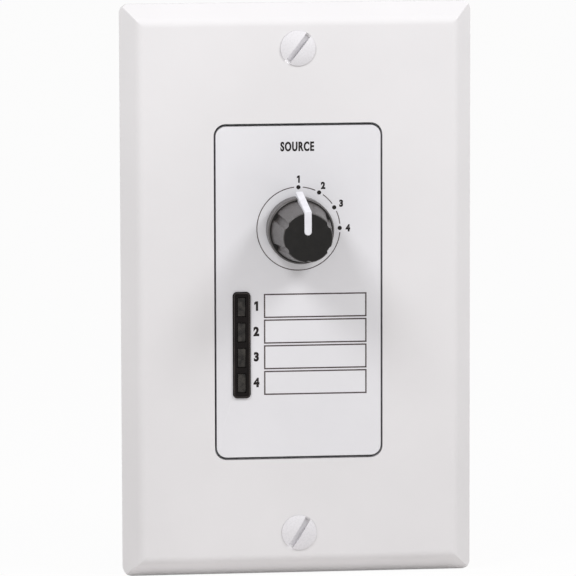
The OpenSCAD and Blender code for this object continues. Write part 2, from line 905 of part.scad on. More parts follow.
module circuit_board() {
    color("darkgreen") stand() difference() {
        slab(board_w, board_h, board_corner, board_rear, board_front);
        for (p = strap_corners) {
            translate(p) rod(small_hole_r, board_rear - past, board_front + past);
        }
        for (y = led_spots, s = [-1, 1]) {
            translate([led_x, y + s * lead_pitch / 2]) board_hole(lead_hole_r);
        }
        on_axis() for (p = contact_spots) {
            translate(p) board_hole(lead_hole_r);
        }
        translate([0, -jack_down]) {
            for (i = contact_steps) {
                translate([i * contact_pitch, wire_leg(i)]) board_hole(lead_hole_r - slide_gap);
            }
            for (s = [-1, 1]) {
                translate([s * peg_x, peg_y]) board_hole(peg_r + slide_gap);
            }
        }
        translate([0, address_up]) for (i = slider_steps, s = [-1, 1]) {
            translate([i * slider_pitch, s * address_row]) board_hole(lead_hole_r);
        }
    }
}

module board_hole(r) {
    rod(r, board_rear - past, board_front + past);
}

module standoffs() {
    color("gold") stand() for (p = strap_corners) {
        translate(p) difference() {
            translate([0, 0, board_front]) cylinder(r = standoff_flats / sqrt(3), h = switch_d, $fn = 6);
            rod(small_screw_r + thread_gap, board_front - past, past);
        }
    }
}

module strap_screws() {
    color("dimgray") stand() for (p = strap_corners) {
        translate(p) translate([0, 0, strap_t]) mirror([0, 0, 1])
            small_screw(small_screw_r, strap_t + small_screw_grip);
    }
}

module board_screws() {
    recess_w = 1.1;
    color("dimgray") stand() behind_board() for (p = strap_corners) {
        translate(p) difference() {
            union() {
                rod(pan_head_r, 0, pan_head_h);
                rod(small_screw_r, -board_t - small_screw_grip, pan_head_h / 2);
            }
            for (turn = [0, 90]) {
                rotate([0, 0, turn])
                    block(recess_w / 2, 2 * pan_head_r - recess_w, pan_head_h / 2, pan_head_h + past);
            }
        }
    }
}

// Each second contact has its leg in the farther row
function wire_leg(step) = wire_leg_y + wire_row * ((step + contact_count / 2 - 0.5) % 2);

module line_jack() {
    plug_mid = plug_low + plug_h / 2;
    wire_top = wire_leg_y + wire_row + wire_t / 2 + slide_gap;
    color("dimgray") stand() behind_board() translate([0, -jack_down]) difference() {
        union() {
            block(jack_w, jack_h, 0, jack_d);
            for (s = [-1, 1]) {
                translate([s * peg_x, peg_y]) rod(peg_r, -board_t, past);
            }
        }
        translate([0, plug_mid]) block(plug_w, plug_h, jack_floor, jack_d + past);
        translate([0, plug_low - latch_h / 2 + slide_gap]) block(latch_w, latch_h, jack_floor, jack_d + past);
        for (i = contact_steps) {
            slot_low = wire_tip_y - slide_gap;
            translate([i * contact_pitch, (slot_low + wire_top) / 2])
                block(wire_slot_w, wire_top - slot_low, -past, wire_bend + slide_gap);
        }
    }
}

module jack_contact(step) {
    leg = wire_leg(step);
    across(wire_w) polygon([
        [leg - wire_t / 2, -board_t - pin_past],
        [leg + wire_t / 2, -board_t - pin_past],
        [leg + wire_t / 2, wire_bend],
        [wire_bend_y, wire_bend],
        [wire_tip_y, wire_tip_d],
        [wire_tip_y + wire_t, wire_tip_d - wire_t / 3],
        [wire_bend_y + wire_t * 2 / 3, wire_bend - wire_t],
        [leg - wire_t / 2, wire_bend - wire_t]
    ]);
}

module jack_contacts() {
    color("gold") stand() behind_board() translate([0, -jack_down]) for (i = contact_steps) {
        translate([i * contact_pitch, 0]) jack_contact(i);
    }
}

module address_switch() {
    pocket_high = address_d - cover_t;
    color("firebrick") stand() behind_board() translate([0, address_up]) difference() {
        block(address_w, address_h, 0, address_d);
        for (i = slider_steps) {
            translate([i * slider_pitch, 0]) {
                block(stem_w + 2 * slide_gap, stem_h + slider_travel + 2 * slide_gap, pocket_high - past,
                    address_d + past);
                block(foot_w + 2 * slide_gap, foot_h + slider_travel + 2 * slide_gap,
                    pocket_high - foot_t - 2 * slide_gap, pocket_high);
            }
        }
    }
}

// The sliders are counted from the left as seen from behind
module address_slider(i) {
    pocket_high = address_d - cover_t;
    foot_high = pocket_high - slide_gap;
    color("ivory") stand() behind_board()
        translate([-slider_steps[i] * slider_pitch, address_up - slider_travel / 2]) {
            block(foot_w, foot_h, foot_high - foot_t, foot_high);
            block(stem_w, stem_h, foot_high - foot_t / 2, address_d + stem_proud);
        }
}

module address_pins() {
    bend = 2;
    color("silver") stand() behind_board() translate([0, address_up]) for (i = slider_steps, s = [0, 1]) {
        translate([i * slider_pitch, 0]) mirror([0, s, 0]) across(address_pin_w) polygon([
            [address_h / 2, bend],
            [address_row + address_pin_t / 2, bend],
            [address_row + address_pin_t / 2, -board_t - pin_past],
            [address_row - address_pin_t / 2, -board_t - pin_past],
            [address_row - address_pin_t / 2, bend - address_pin_t],
            [address_h / 2, bend - address_pin_t]
        ]);
    }
}

// A gull-wing lead from a body's side down to the board, drawn towards +x
module gull(side, leave, w) {
    rotate([90, 0, 0]) linear_extrude(height = w, center = true) polygon([
        [side, leave],
        [side + gull_reach / 2, leave],
        [side + gull_reach / 2, gull_t],
        [side + gull_reach, gull_t],
        [side + gull_reach, 0],
        [side + gull_reach / 2 - gull_t, 0],
        [side + gull_reach / 2 - gull_t, leave - gull_t],
        [side, leave - gull_t]
    ]);
}

module controller_chip() {
    color("black") stand() behind_board() translate([chip_x, chip_y])
        block(chip_w, chip_h, chip_lift, chip_lift + chip_t);
}

module chip_pins() {
    leave = chip_lift + chip_t / 2;
    color("silver") stand() behind_board() translate([chip_x, chip_y]) for (i = chip_steps, s = [0, 1]) {
        translate([0, i * chip_pin_pitch]) mirror([s, 0, 0]) gull(chip_w / 2, leave, chip_pin_w);
    }
}

module regulator() {
    color("black") stand() behind_board() translate([chip_x, regulator_y])
        block(regulator_w, regulator_h, chip_lift, chip_lift + regulator_t);
}

module regulator_legs() {
    leave = chip_lift + regulator_t / 2;
    color("silver") stand() behind_board() translate([chip_x, regulator_y]) {
        for (i = [-1 : 1]) {
            translate([0, i * regulator_pitch]) gull(regulator_w / 2, leave, regulator_leg_w);
        }
        mirror([1, 0, 0]) gull(regulator_w / 2, leave, regulator_tab_w);
    }
}

module capacitor_base() {
    color("black") stand() behind_board() translate([capacitor_x, capacitor_y])
        slab(capacitor_w, capacitor_w, bezel_corner, 0, capacitor_base_t);
}

module capacitor_can() {
    color("silver") stand() behind_board() translate([capacitor_x, capacitor_y])
        rod(capacitor_r, capacitor_base_t, capacitor_base_t + capacitor_h);
}

module crystal_can() {
    flange_r = crystal_r + crystal_flange;
    color("silver") stand() behind_board() translate([crystal_x, crystal_y]) {
        slab(2 * flange_r, crystal_run + 2 * flange_r, flange_r - inlay_gap, 0, crystal_flange_t);
        slab(2 * crystal_r, crystal_run + 2 * crystal_r, crystal_r - inlay_gap,
            crystal_flange_t / 2, crystal_t);
    }
}

module chip_resistors() {
    color("black") stand() behind_board() {
        for (y = led_spots) {
            translate([-edge_row_x, y]) block(small_w, small_l, 0, resistor_t);
        }
        for (y = edge_rows) {
            translate([-edge_row_x, y]) block(small_l, small_w, 0, resistor_t);
        }
    }
}

module chip_capacitors() {
    color("peru") stand() behind_board() {
        for (y = edge_rows) {
            translate([edge_row_x, y]) block(small_l, small_w, 0, ceramic_t);
        }
        for (s = [0, 1]) {
            translate([crystal_x, crystal_y - crystal_run - s * small_l - small_w])
                block(small_l, small_w, 0, ceramic_t);
        }
    }
}

wall_plate();
plate_screws();
mounting_strap();
front_panel();
panel_screws();
indicator_bezel();
led(0);  // led_1
led(1);  // led_2
led(2);  // led_3
led(3);  // led_4
led_leads();
led_spacer();
selector_knob();
knob_pointer();
knob_clip();
switch_shaft();
shaft_clip();
switch_rotor();
detent_ball();
detent_spring();
switch_wiper();
switch_frame();
switch_washer();
switch_nut();
switch_base();
switch_terminals();
circuit_board();
standoffs();
strap_screws();
board_screws();
line_jack();
jack_contacts();
address_switch();
address_slider(0);  // address_slider_1
address_slider(1);  // address_slider_2
address_slider(2);  // address_slider_3
address_slider(3);  // address_slider_4
address_pins();
controller_chip();
chip_pins();
regulator();
regulator_legs();
capacitor_base();
capacitor_can();
crystal_can();
chip_resistors();
chip_capacitors();
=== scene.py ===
import bpy
import bmesh
import json
import math
from mathutils import Matrix, Vector

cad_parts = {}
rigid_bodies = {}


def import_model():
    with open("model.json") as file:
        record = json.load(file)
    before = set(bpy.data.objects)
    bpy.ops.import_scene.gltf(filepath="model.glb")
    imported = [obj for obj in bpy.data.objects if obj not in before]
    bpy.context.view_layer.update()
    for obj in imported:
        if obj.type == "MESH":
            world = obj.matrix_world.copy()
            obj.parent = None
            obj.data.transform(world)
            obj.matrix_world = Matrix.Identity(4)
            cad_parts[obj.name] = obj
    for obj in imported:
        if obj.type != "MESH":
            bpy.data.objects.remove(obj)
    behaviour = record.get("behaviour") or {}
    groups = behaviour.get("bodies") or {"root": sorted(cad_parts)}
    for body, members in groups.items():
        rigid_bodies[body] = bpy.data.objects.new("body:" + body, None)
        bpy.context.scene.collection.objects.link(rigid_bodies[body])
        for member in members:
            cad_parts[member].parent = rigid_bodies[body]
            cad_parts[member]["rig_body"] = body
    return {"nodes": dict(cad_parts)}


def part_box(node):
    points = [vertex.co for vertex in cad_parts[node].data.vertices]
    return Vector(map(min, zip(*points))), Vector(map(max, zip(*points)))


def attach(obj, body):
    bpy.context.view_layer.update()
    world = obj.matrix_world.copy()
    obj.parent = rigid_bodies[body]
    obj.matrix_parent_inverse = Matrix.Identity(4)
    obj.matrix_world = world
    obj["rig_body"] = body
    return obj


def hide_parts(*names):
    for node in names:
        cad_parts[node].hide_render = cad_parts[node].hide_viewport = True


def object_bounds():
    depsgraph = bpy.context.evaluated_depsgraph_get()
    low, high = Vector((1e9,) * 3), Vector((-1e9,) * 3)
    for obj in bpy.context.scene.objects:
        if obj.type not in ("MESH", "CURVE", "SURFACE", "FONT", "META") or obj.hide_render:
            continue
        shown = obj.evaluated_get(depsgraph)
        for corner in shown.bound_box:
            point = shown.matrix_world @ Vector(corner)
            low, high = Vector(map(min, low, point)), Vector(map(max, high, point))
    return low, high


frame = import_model()
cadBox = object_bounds()
mm = 0.001
print("frame loaded:", len(frame["nodes"]), "nodes")


# small helpers

def only(piece):
    if bpy.context.mode != "OBJECT":
        bpy.ops.object.mode_set(mode="OBJECT")
    bpy.ops.object.select_all(action="DESELECT")
    piece.select_set(True)
    bpy.context.view_layer.objects.active = piece


def startEdit(piece):
    only(piece)
    bpy.ops.object.mode_set(mode="EDIT")
    bpy.ops.mesh.select_all(action="SELECT")


def endEdit():
    bpy.ops.object.mode_set(mode="OBJECT")


def added(name):  # the object that the last operator made
    piece = bpy.context.active_object
    piece.name = name
    piece.data.name = name
    return piece


def clearSelection():
    if bpy.context.mode != "OBJECT":
        bpy.ops.object.mode_set(mode="OBJECT")
    bpy.ops.object.select_all(action="DESELECT")


def selectFaces(piece, test):  # in edit mode, by place and normal
    bpy.ops.mesh.select_mode(type="FACE")
    mesh = bmesh.from_edit_mesh(piece.data)
    for face in mesh.faces:
        face.select_set(test(face.calc_center_median(), face.normal))
    mesh.select_flush_mode()
    bmesh.update_edit_mesh(piece.data)


def selectEdges(piece, test):
    bpy.ops.mesh.select_mode(type="EDGE")
    mesh = bmesh.from_edit_mesh(piece.data)
    for edge in mesh.edges:
        edge.select_set(test(edge.verts[0].co, edge.verts[1].co))
    bmesh.update_edit_mesh(piece.data)


shadeAngle = 32  # degrees between faces that still shade as one


def smooth(piece, angle=shadeAngle):  # flat faces keep their own normal
    only(piece)
    bpy.ops.object.shade_smooth_by_angle(angle=math.radians(angle))
    weigh = piece.modifiers.new("weigh", "WEIGHTED_NORMAL")
    weigh.mode = "FACE_AREA"
    weigh.keep_sharp = True
    bpy.ops.object.modifier_apply(modifier="weigh")


def roundEdges(piece, width, segments=2, angle=30):
    only(piece)
    edge = piece.modifiers.new("edge", "BEVEL")
    edge.width = width
    edge.segments = segments
    edge.limit_method = "ANGLE"
    edge.angle_limit = math.radians(angle)
    edge.miter_outer = "MITER_ARC"
    edge.use_clamp_overlap = True
    edge.harden_normals = False
    bpy.ops.object.modifier_apply(modifier="edge")


def dress(piece, material, body="fixed", stands=()):
    piece.data.materials.clear()
    piece.data.materials.append(material)
    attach(piece, body)
    if stands:
        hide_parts(*stands)
    return piece


def placeFront(piece, x, up, out):  # drawn flat, then stood up facing the room
    only(piece)
    piece.location = (x, -out, up)
    piece.rotation_euler = (math.radians(90), 0, 0)
    bpy.ops.object.transform_apply(location=True, rotation=True, scale=True)


def placeRear(piece, x, up, behind):  # drawn flat, then stood up facing the wall box
    only(piece)
    piece.location = (x, behind, up)
    piece.rotation_euler = (math.radians(90), 0, math.radians(180))
    bpy.ops.object.transform_apply(location=True, rotation=True, scale=True)


def ownCopy(piece, name):
    twin = piece.copy()
    twin.data = piece.data.copy()
    twin.name = name
    twin.data.name = name
    bpy.context.scene.collection.objects.link(twin)
    return twin


def joined(parts, name):
    clearSelection()
    for part in parts:
        part.select_set(True)
    bpy.context.view_layer.objects.active = parts[0]
    bpy.ops.object.join()
    return added(name)


def bodyOf(node):
    return frame["nodes"][node]["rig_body"]


solids = {"merge": 2e-6, "flat": 0.4, "unsplit": ("led_spacer",)}  # the spacer bevels better unsplit


def bareCopy(node, name):  # the solid's triangles merged into its own faces
    source = frame["nodes"][node]
    piece = source.copy()
    piece.data = source.data.copy()
    for tag in list(piece.keys()):
        del piece[tag]
    piece.parent = None
    piece.matrix_world = Matrix.Identity(4)
    piece.name = name
    piece.data.name = name
    bpy.context.scene.collection.objects.link(piece)
    startEdit(piece)
    bpy.ops.mesh.customdata_custom_splitnormals_clear()
    bpy.ops.mesh.remove_doubles(threshold=solids["merge"])
    bpy.ops.mesh.dissolve_limited(angle_limit=math.radians(solids["flat"]))
    if node not in solids["unsplit"]:
        bpy.ops.mesh.vert_connect_concave()  # a bevel tears faces with inward corners
    endEdit()
    return piece


def softCopy(node, name, edge, segments=2, angle=30, shade=shadeAngle):  # the solid, edges broken
    piece = bareCopy(node, name)
    if edge:
        roundEdges(piece, edge, segments, angle)
    smooth(piece, shade)
    return piece


def bevelEdges(piece, test, width, segments):  # only the edges that pass the test
    startEdit(piece)
    selectEdges(piece, test)
    bpy.ops.mesh.bevel(offset=width, segments=segments, affect="EDGES", clamp_overlap=True)
    endEdit()


def sheet(name, width, height):  # a flat blank to work from
    clearSelection()
    bpy.ops.mesh.primitive_plane_add(size=1)
    piece = added(name)
    piece.scale = (width, height, 1)
    bpy.ops.object.transform_apply(scale=True)
    return piece


def spanOf(points):
    low = Vector([min(point[axis] for point in points) for axis in range(3)])
    high = Vector([max(point[axis] for point in points) for axis in range(3)])
    return low, high


# camera at the photograph's angle

cameraLook = {
    "place": (-0.1223, -1.0534, 0.1340),
    "lens": 335.06,
    "roll": -0.147,
    "shiftX": -0.0127,
    "shiftY": 0.0002,
    "sensor": 36,
    "near": 0.01,
    "far": 100,
}


def makeCamera(look):
    lens = bpy.data.cameras.new("camera")
    camera = bpy.data.objects.new("camera", lens)
    bpy.context.scene.collection.objects.link(camera)
    camera.location = look["place"]
    aim = (-camera.location).to_track_quat("-Z", "Y").to_matrix()
    camera.rotation_euler = (aim @ Matrix.Rotation(math.radians(look["roll"]), 3, "Z")).to_euler()
    lens.sensor_width = look["sensor"]
    lens.lens = look["lens"]
    lens.shift_x = look["shiftX"]
    lens.shift_y = look["shiftY"]
    lens.clip_start = look["near"]
    lens.clip_end = look["far"]
    bpy.context.scene.camera = camera


makeCamera(cameraLook)


# soft studio light, pale floor

studio = {
    "fill": 0.435,
    "fillTint": (1, 0.985, 0.975, 1),
    "lampDistance": 0.35,
    "lampSize": 0.12,
    "left": {"power": 0.465, "towards": (-0.50, -0.52, 0.69)},
    "right": {"power": 0.485, "towards": (0.57, -0.47, 0.675)},
    "lampTint": (0.99, 0.985, 1),
    "floorPaint": (0.84, 0.82, 0.81, 1),
    "floorShade": 0.045,
    "floorSize": 60,
    "floorDrop": 0.05 * mm,
}


def addLamp(name, look):
    lamp = bpy.data.lights.new(name, "AREA")
    lamp.shape = "DISK"
    lamp.size = studio["lampSize"]
    lamp.energy = look["power"]
    lamp.color = studio["lampTint"]
    holder = bpy.data.objects.new(name, lamp)
    bpy.context.scene.collection.objects.link(holder)
    toLamp = Vector(look["towards"]).normalized()
    holder.location = toLamp * studio["lampDistance"]
    holder.rotation_euler = toLamp.to_track_quat("Z", "Y").to_euler()


def seenStraight(tree):  # camera, mirror and glass rays
    path = tree.nodes.new("ShaderNodeLightPath")
    first = tree.nodes.new("ShaderNodeMath")
    first.operation = "MAXIMUM"
    second = tree.nodes.new("ShaderNodeMath")
    second.operation = "MAXIMUM"
    tree.links.new(path.outputs["Is Camera Ray"], first.inputs[0])
    tree.links.new(path.outputs["Is Glossy Ray"], first.inputs[1])
    tree.links.new(first.outputs[0], second.inputs[0])
    tree.links.new(path.outputs["Is Transmission Ray"], second.inputs[1])
    return second.outputs[0]


def makeWorld():
    world = bpy.data.worlds.new("studio")
    bpy.context.scene.world = world
    world.use_nodes = True
    tree = world.node_tree
    tree.nodes.clear()
    out = tree.nodes.new("ShaderNodeOutputWorld")
    mix = tree.nodes.new("ShaderNodeMixShader")
    fill = tree.nodes.new("ShaderNodeBackground")
    fill.inputs["Color"].default_value = studio["fillTint"]
    fill.inputs["Strength"].default_value = studio["fill"]
    white = tree.nodes.new("ShaderNodeBackground")
    white.inputs["Color"].default_value = (1, 1, 1, 1)
    white.inputs["Strength"].default_value = 1
    tree.links.new(seenStraight(tree), mix.inputs[0])
    tree.links.new(fill.outputs[0], mix.inputs[1])
    tree.links.new(white.outputs[0], mix.inputs[2])
    tree.links.new(mix.outputs[0], out.inputs["Surface"])


def makeFloor():
    clearSelection()
    level = cadBox[0].z - studio["floorDrop"]
    bpy.ops.mesh.primitive_plane_add(size=studio["floorSize"], location=(0, 0, level))
    floor = added("floor")
    paint = bpy.data.materials.new("floorPaint")
    paint.use_nodes = True
    tree = paint.node_tree
    tree.nodes.clear()
    out = tree.nodes.new("ShaderNodeOutputMaterial")
    matte = tree.nodes.new("ShaderNodeBsdfDiffuse")
    matte.inputs["Color"].default_value = studio["floorPaint"]
    lit = tree.nodes.new("ShaderNodeEmission")
    lit.inputs["Color"].default_value = (1, 1, 1, 1)
    lit.inputs["Strength"].default_value = 1
    share = tree.nodes.new("ShaderNodeMath")
    share.operation = "MULTIPLY"
    share.inputs[1].default_value = 1 - studio["floorShade"]
    mix = tree.nodes.new("ShaderNodeMixShader")
    tree.links.new(seenStraight(tree), share.inputs[0])
    tree.links.new(share.outputs[0], mix.inputs[0])
    tree.links.new(matte.outputs[0], mix.inputs[1])
    tree.links.new(lit.outputs[0], mix.inputs[2])
    tree.links.new(mix.outputs[0], out.inputs["Surface"])
    floor.data.materials.append(paint)


addLamp("lampLeft", studio["left"])
addLamp("lampRight", studio["right"])
makeWorld()
makeFloor()
bpy.context.scene.view_settings.view_transform = "Standard"
print("studio set")


# finishes: every one reads Object coordinates, sizes in metres

def srgb(red, green, blue):  # screen values to linear
    def linear(value):
        share = value / 255
        return share / 12.92 if share <= 0.04045 else ((share + 0.055) / 1.055) ** 2.4
    return (linear(red), linear(green), linear(blue), 1)


def startFinish(name):
    finish = bpy.data.materials.new(name)
    finish.use_nodes = True
    tree = finish.node_tree
    tree.nodes.clear()
    out = tree.nodes.new("ShaderNodeOutputMaterial")
    shader = tree.nodes.new("ShaderNodeBsdfPrincipled")
    tree.links.new(shader.outputs["BSDF"], out.inputs["Surface"])
    coords = tree.nodes.new("ShaderNodeTexCoord")
    return finish, tree, shader, coords.outputs["Object"]


surface = {
    "from": (0.3, 0.7),  # where nearly all of the noise lies
    "cloudDetail": 3, "grainDetail": 2.5, "grainHeight": 0.00003, "specular": 0.5, "coatRoughness": 0.1,
    "stainDetail": 4, "lineDetail": 3, "lineHeight": 0.00002,
}


def noiseAt(tree, coords, size, detail, stretch=(1, 1, 1)):  # size of one blotch
    turn = tree.nodes.new("ShaderNodeMapping")
    turn.inputs["Scale"].default_value = stretch
    tree.links.new(coords, turn.inputs["Vector"])
    noise = tree.nodes.new("ShaderNodeTexNoise")
    noise.inputs["Scale"].default_value = 1 / size
    noise.inputs["Detail"].default_value = detail
    tree.links.new(turn.outputs["Vector"], noise.inputs["Vector"])
    return noise.outputs["Fac"]


def spread(tree, value, low, high):
    node = tree.nodes.new("ShaderNodeMapRange")
    node.inputs["From Min"].default_value = surface["from"][0]
    node.inputs["From Max"].default_value = surface["from"][1]
    node.inputs["To Min"].default_value = low
    node.inputs["To Max"].default_value = high
    tree.links.new(value, node.inputs["Value"])
    return node.outputs["Result"]


def blendColours(tree, value, dark, light):
    ramp = tree.nodes.new("ShaderNodeValToRGB")
    for element, position, colour in zip(ramp.color_ramp.elements, surface["from"], (dark, light)):
        element.position = position
        element.color = colour
    tree.links.new(value, ramp.inputs["Fac"])
    return ramp.outputs["Color"]


def addBump(tree, shader, height, strength, distance):
    bump = tree.nodes.new("ShaderNodeBump")
    bump.inputs["Strength"].default_value = strength
    bump.inputs["Distance"].default_value = distance
    tree.links.new(height, bump.inputs["Height"])
    tree.links.new(bump.outputs["Normal"], shader.inputs["Normal"])


def mouldedFinish(name, look):  # plastics, paints, ceramics, inks
    finish, tree, shader, coords = startFinish(name)
    clouds = noiseAt(tree, coords, look["cloudSize"], surface["cloudDetail"])
    grain = noiseAt(tree, coords, look["grainSize"], surface["grainDetail"])
    tree.links.new(blendColours(tree, clouds, look["dark"], look["light"]), shader.inputs["Base Color"])
    tree.links.new(spread(tree, grain, look["sheen"][0], look["sheen"][1]), shader.inputs["Roughness"])
    addBump(tree, shader, grain, look["bump"], surface["grainHeight"])
    shader.inputs["Specular IOR Level"].default_value = look.get("specular", surface["specular"])
    shader.inputs["Coat Weight"].default_value = look.get("coat", 0)
    shader.inputs["Coat Roughness"].default_value = surface["coatRoughness"]
    return finish


def metalFinish(name, look):  # plated, cast and drawn metals
    finish, tree, shader, coords = startFinish(name)
    stain = noiseAt(tree, coords, look["stainSize"], surface["stainDetail"])
    stretch = look.get("stretch", (1, 1, 1))
    lines = noiseAt(tree, coords, look["lineSize"], surface["lineDetail"], stretch)
    tree.links.new(blendColours(tree, stain, look["dark"], look["light"]), shader.inputs["Base Color"])
    tree.links.new(spread(tree, lines, look["sheen"][0], look["sheen"][1]), shader.inputs["Roughness"])
    addBump(tree, shader, lines, look["bump"], surface["lineHeight"])
    shader.inputs["Metallic"].default_value = 1
    return finish


plateWhite = mouldedFinish("plateWhite", {
    "dark": srgb(230, 229, 230), "light": srgb(235, 234, 235), "cloudSize": 0.03,
    "grainSize": 0.0003, "sheen": (0.30, 0.40), "bump": 0.06})
panelWhite = mouldedFinish("panelWhite", {
    "dark": srgb(230, 230, 233), "light": srgb(235, 235, 238), "cloudSize": 0.02,
    "grainSize": 0.00016, "sheen": (0.42, 0.55), "bump": 0.14})
screwWhite = mouldedFinish("screwWhite", {
    "dark": srgb(227, 226, 229), "light": srgb(234, 233, 236), "cloudSize": 0.006,
    "grainSize": 0.0004, "sheen": (0.22, 0.34), "bump": 0.05, "coat": 0.25})
# knob flanks: a black base lifted towards grey, painted sheen for the reflections on the flanks
knobBlackPaintedSheen = mouldedFinish("knobBlackPaintedSheen", {
    "dark": srgb(48, 43, 42), "light": srgb(58, 52, 50), "cloudSize": 0.003,
    "grainSize": 0.00025, "sheen": (0.28, 0.40), "bump": 0.2, "specular": 0.95})
knobCap = mouldedFinish("knobCap", {
    "dark": srgb(24, 23, 22), "light": srgb(31, 30, 29), "cloudSize": 0.002,
    "grainSize": 0.00018, "sheen": (0.5, 0.66), "bump": 0.3, "specular": 0.2})
pointerWhite = mouldedFinish("pointerWhite", {
    "dark": srgb(231, 231, 236), "light": srgb(240, 241, 246), "cloudSize": 0.003,
    "grainSize": 0.0003, "sheen": (0.35, 0.45), "bump": 0.08})
bezelBlack = mouldedFinish("bezelBlack", {
    "dark": srgb(16, 13, 12), "light": srgb(24, 20, 19), "cloudSize": 0.004,
    "grainSize": 0.0002, "sheen": (0.38, 0.52), "bump": 0.25, "specular": 0.12})
blackPlastic = mouldedFinish("blackPlastic", {
    "dark": srgb(24, 24, 25), "light": srgb(34, 34, 35), "cloudSize": 0.004,
    "grainSize": 0.0002, "sheen": (0.3, 0.44), "bump": 0.25, "specular": 0.4})
# the bezel bead's paler colour is a painted highlight on the black moulding
rimPaintedHighlight = mouldedFinish("rimPaintedHighlight", {
    "dark": srgb(34, 28, 26), "light": srgb(66, 56, 52), "cloudSize": 0.002,
    "grainSize": 0.0002, "sheen": (0.28, 0.4), "bump": 0.2, "specular": 0.45})
brownPlastic = mouldedFinish("brownPlastic", {
    "dark": srgb(74, 42, 24), "light": srgb(104, 62, 36), "cloudSize": 0.0025,
    "grainSize": 0.0003, "sheen": (0.4, 0.55), "bump": 0.2})
switchRed = mouldedFinish("switchRed", {
    "dark": srgb(150, 26, 24), "light": srgb(172, 34, 30), "cloudSize": 0.004,
    "grainSize": 0.0002, "sheen": (0.32, 0.45), "bump": 0.15})
sliderWhite = mouldedFinish("sliderWhite", {
    "dark": srgb(226, 222, 208), "light": srgb(238, 235, 224), "cloudSize": 0.001,
    "grainSize": 0.0002, "sheen": (0.35, 0.5), "bump": 0.12})
chipBlack = mouldedFinish("chipBlack", {
    "dark": srgb(30, 30, 31), "light": srgb(42, 42, 43), "cloudSize": 0.0015,
    "grainSize": 0.00012, "sheen": (0.5, 0.68), "bump": 0.4})
ceramicTan = mouldedFinish("ceramicTan", {
    "dark": srgb(150, 116, 78), "light": srgb(176, 140, 98), "cloudSize": 0.0008,
    "grainSize": 0.0002, "sheen": (0.4, 0.6), "bump": 0.15})
printInk = mouldedFinish("printInk", {
    "dark": srgb(26, 23, 22), "light": srgb(36, 32, 31), "cloudSize": 0.0009,
    "grainSize": 0.0001, "sheen": (0.45, 0.6), "bump": 0.1, "specular": 0.2})
ringInk = mouldedFinish("ringInk", {
    "dark": srgb(70, 62, 62), "light": srgb(94, 85, 86), "cloudSize": 0.0012,
    "grainSize": 0.0001, "sheen": (0.45, 0.6), "bump": 0.1, "specular": 0.3})
silkWhite = mouldedFinish("silkWhite", {
    "dark": srgb(206, 208, 202), "light": srgb(232, 233, 228), "cloudSize": 0.0008,
    "grainSize": 0.0001, "sheen": (0.5, 0.65), "bump": 0.2})
ledSmoke = mouldedFinish("ledSmoke", {
    "dark": srgb(2, 2, 2), "light": srgb(64, 61, 57), "cloudSize": 0.0011,
    "grainSize": 0.0002, "sheen": (0.2, 0.36), "bump": 0.2, "specular": 0.26})
zincSteel = metalFinish("zincSteel", {
    "dark": srgb(168, 172, 176), "light": srgb(206, 208, 208), "stainSize": 0.006,
    "lineSize": 0.0012, "sheen": (0.4, 0.54), "bump": 0.03})
darkSteel = metalFinish("darkSteel", {
    "dark": srgb(70, 68, 66), "light": srgb(98, 95, 92), "stainSize": 0.002,
    "lineSize": 0.0005, "sheen": (0.3, 0.48), "bump": 0.15})
tinnedWire = metalFinish("tinnedWire", {
    "dark": srgb(188, 190, 194), "light": srgb(222, 223, 226), "stainSize": 0.001,
    "lineSize": 0.0003, "sheen": (0.2, 0.35), "bump": 0.12})
springSteel = metalFinish("springSteel", {
    "dark": srgb(150, 150, 152), "light": srgb(190, 190, 192), "stainSize": 0.002,
    "lineSize": 0.0004, "sheen": (0.22, 0.36), "bump": 0.1})
shaftAluminium = metalFinish("shaftAluminium", {
    "dark": srgb(188, 189, 192), "light": srgb(216, 217, 219), "stainSize": 0.004,
    "lineSize": 0.0004, "sheen": (0.25, 0.4), "stretch": (1, 8, 1), "bump": 0.2})
canAluminium = metalFinish("canAluminium", {
    "dark": srgb(196, 198, 202), "light": srgb(226, 227, 229), "stainSize": 0.003,
    "lineSize": 0.0005, "sheen": (0.24, 0.36), "stretch": (1, 0.15, 1), "bump": 0.16})
canSteel = metalFinish("canSteel", {
    "dark": srgb(178, 180, 182), "light": srgb(208, 209, 210), "stainSize": 0.003,
    "lineSize": 0.0004, "sheen": (0.22, 0.34), "bump": 0.1})
castZinc = metalFinish("castZinc", {
    "dark": srgb(150, 154, 158), "light": srgb(182, 186, 190), "stainSize": 0.0025,
    "lineSize": 0.0004, "sheen": (0.42, 0.6), "bump": 0.35})
standoffBrass = metalFinish("standoffBrass", {
    "dark": srgb(184, 146, 76), "light": srgb(214, 180, 106), "stainSize": 0.003,
    "lineSize": 0.0004, "sheen": (0.24, 0.4), "stretch": (1, 6, 1), "bump": 0.14})
contactBrass = metalFinish("contactBrass", {
    "dark": srgb(190, 154, 84), "light": srgb(218, 186, 116), "stainSize": 0.001,
    "lineSize": 0.0003, "sheen": (0.22, 0.36), "bump": 0.1})
contactGold = metalFinish("contactGold", {
    "dark": srgb(206, 166, 82), "light": srgb(232, 198, 118), "stainSize": 0.001,
    "lineSize": 0.0003, "sheen": (0.16, 0.28), "bump": 0.08})
solderTin = metalFinish("solderTin", {
    "dark": srgb(176, 178, 182), "light": srgb(216, 218, 221), "stainSize": 0.0006,
    "lineSize": 0.0003, "sheen": (0.18, 0.38), "bump": 0.25})


lacquer = {
    "cloudSize": 0.006, "weave": 420, "waviness": 0.6, "bump": 0.15, "coat": 0.35, "coatRoughness": 0.15,
}


def weaveAt(tree, coords, direction):
    weave = tree.nodes.new("ShaderNodeTexWave")
    weave.wave_type = "BANDS"
    weave.bands_direction = direction
    weave.inputs["Scale"].default_value = lacquer["weave"]
    weave.inputs["Distortion"].default_value = lacquer["waviness"]
    tree.links.new(coords, weave.inputs["Vector"])
    return weave.outputs["Fac"]


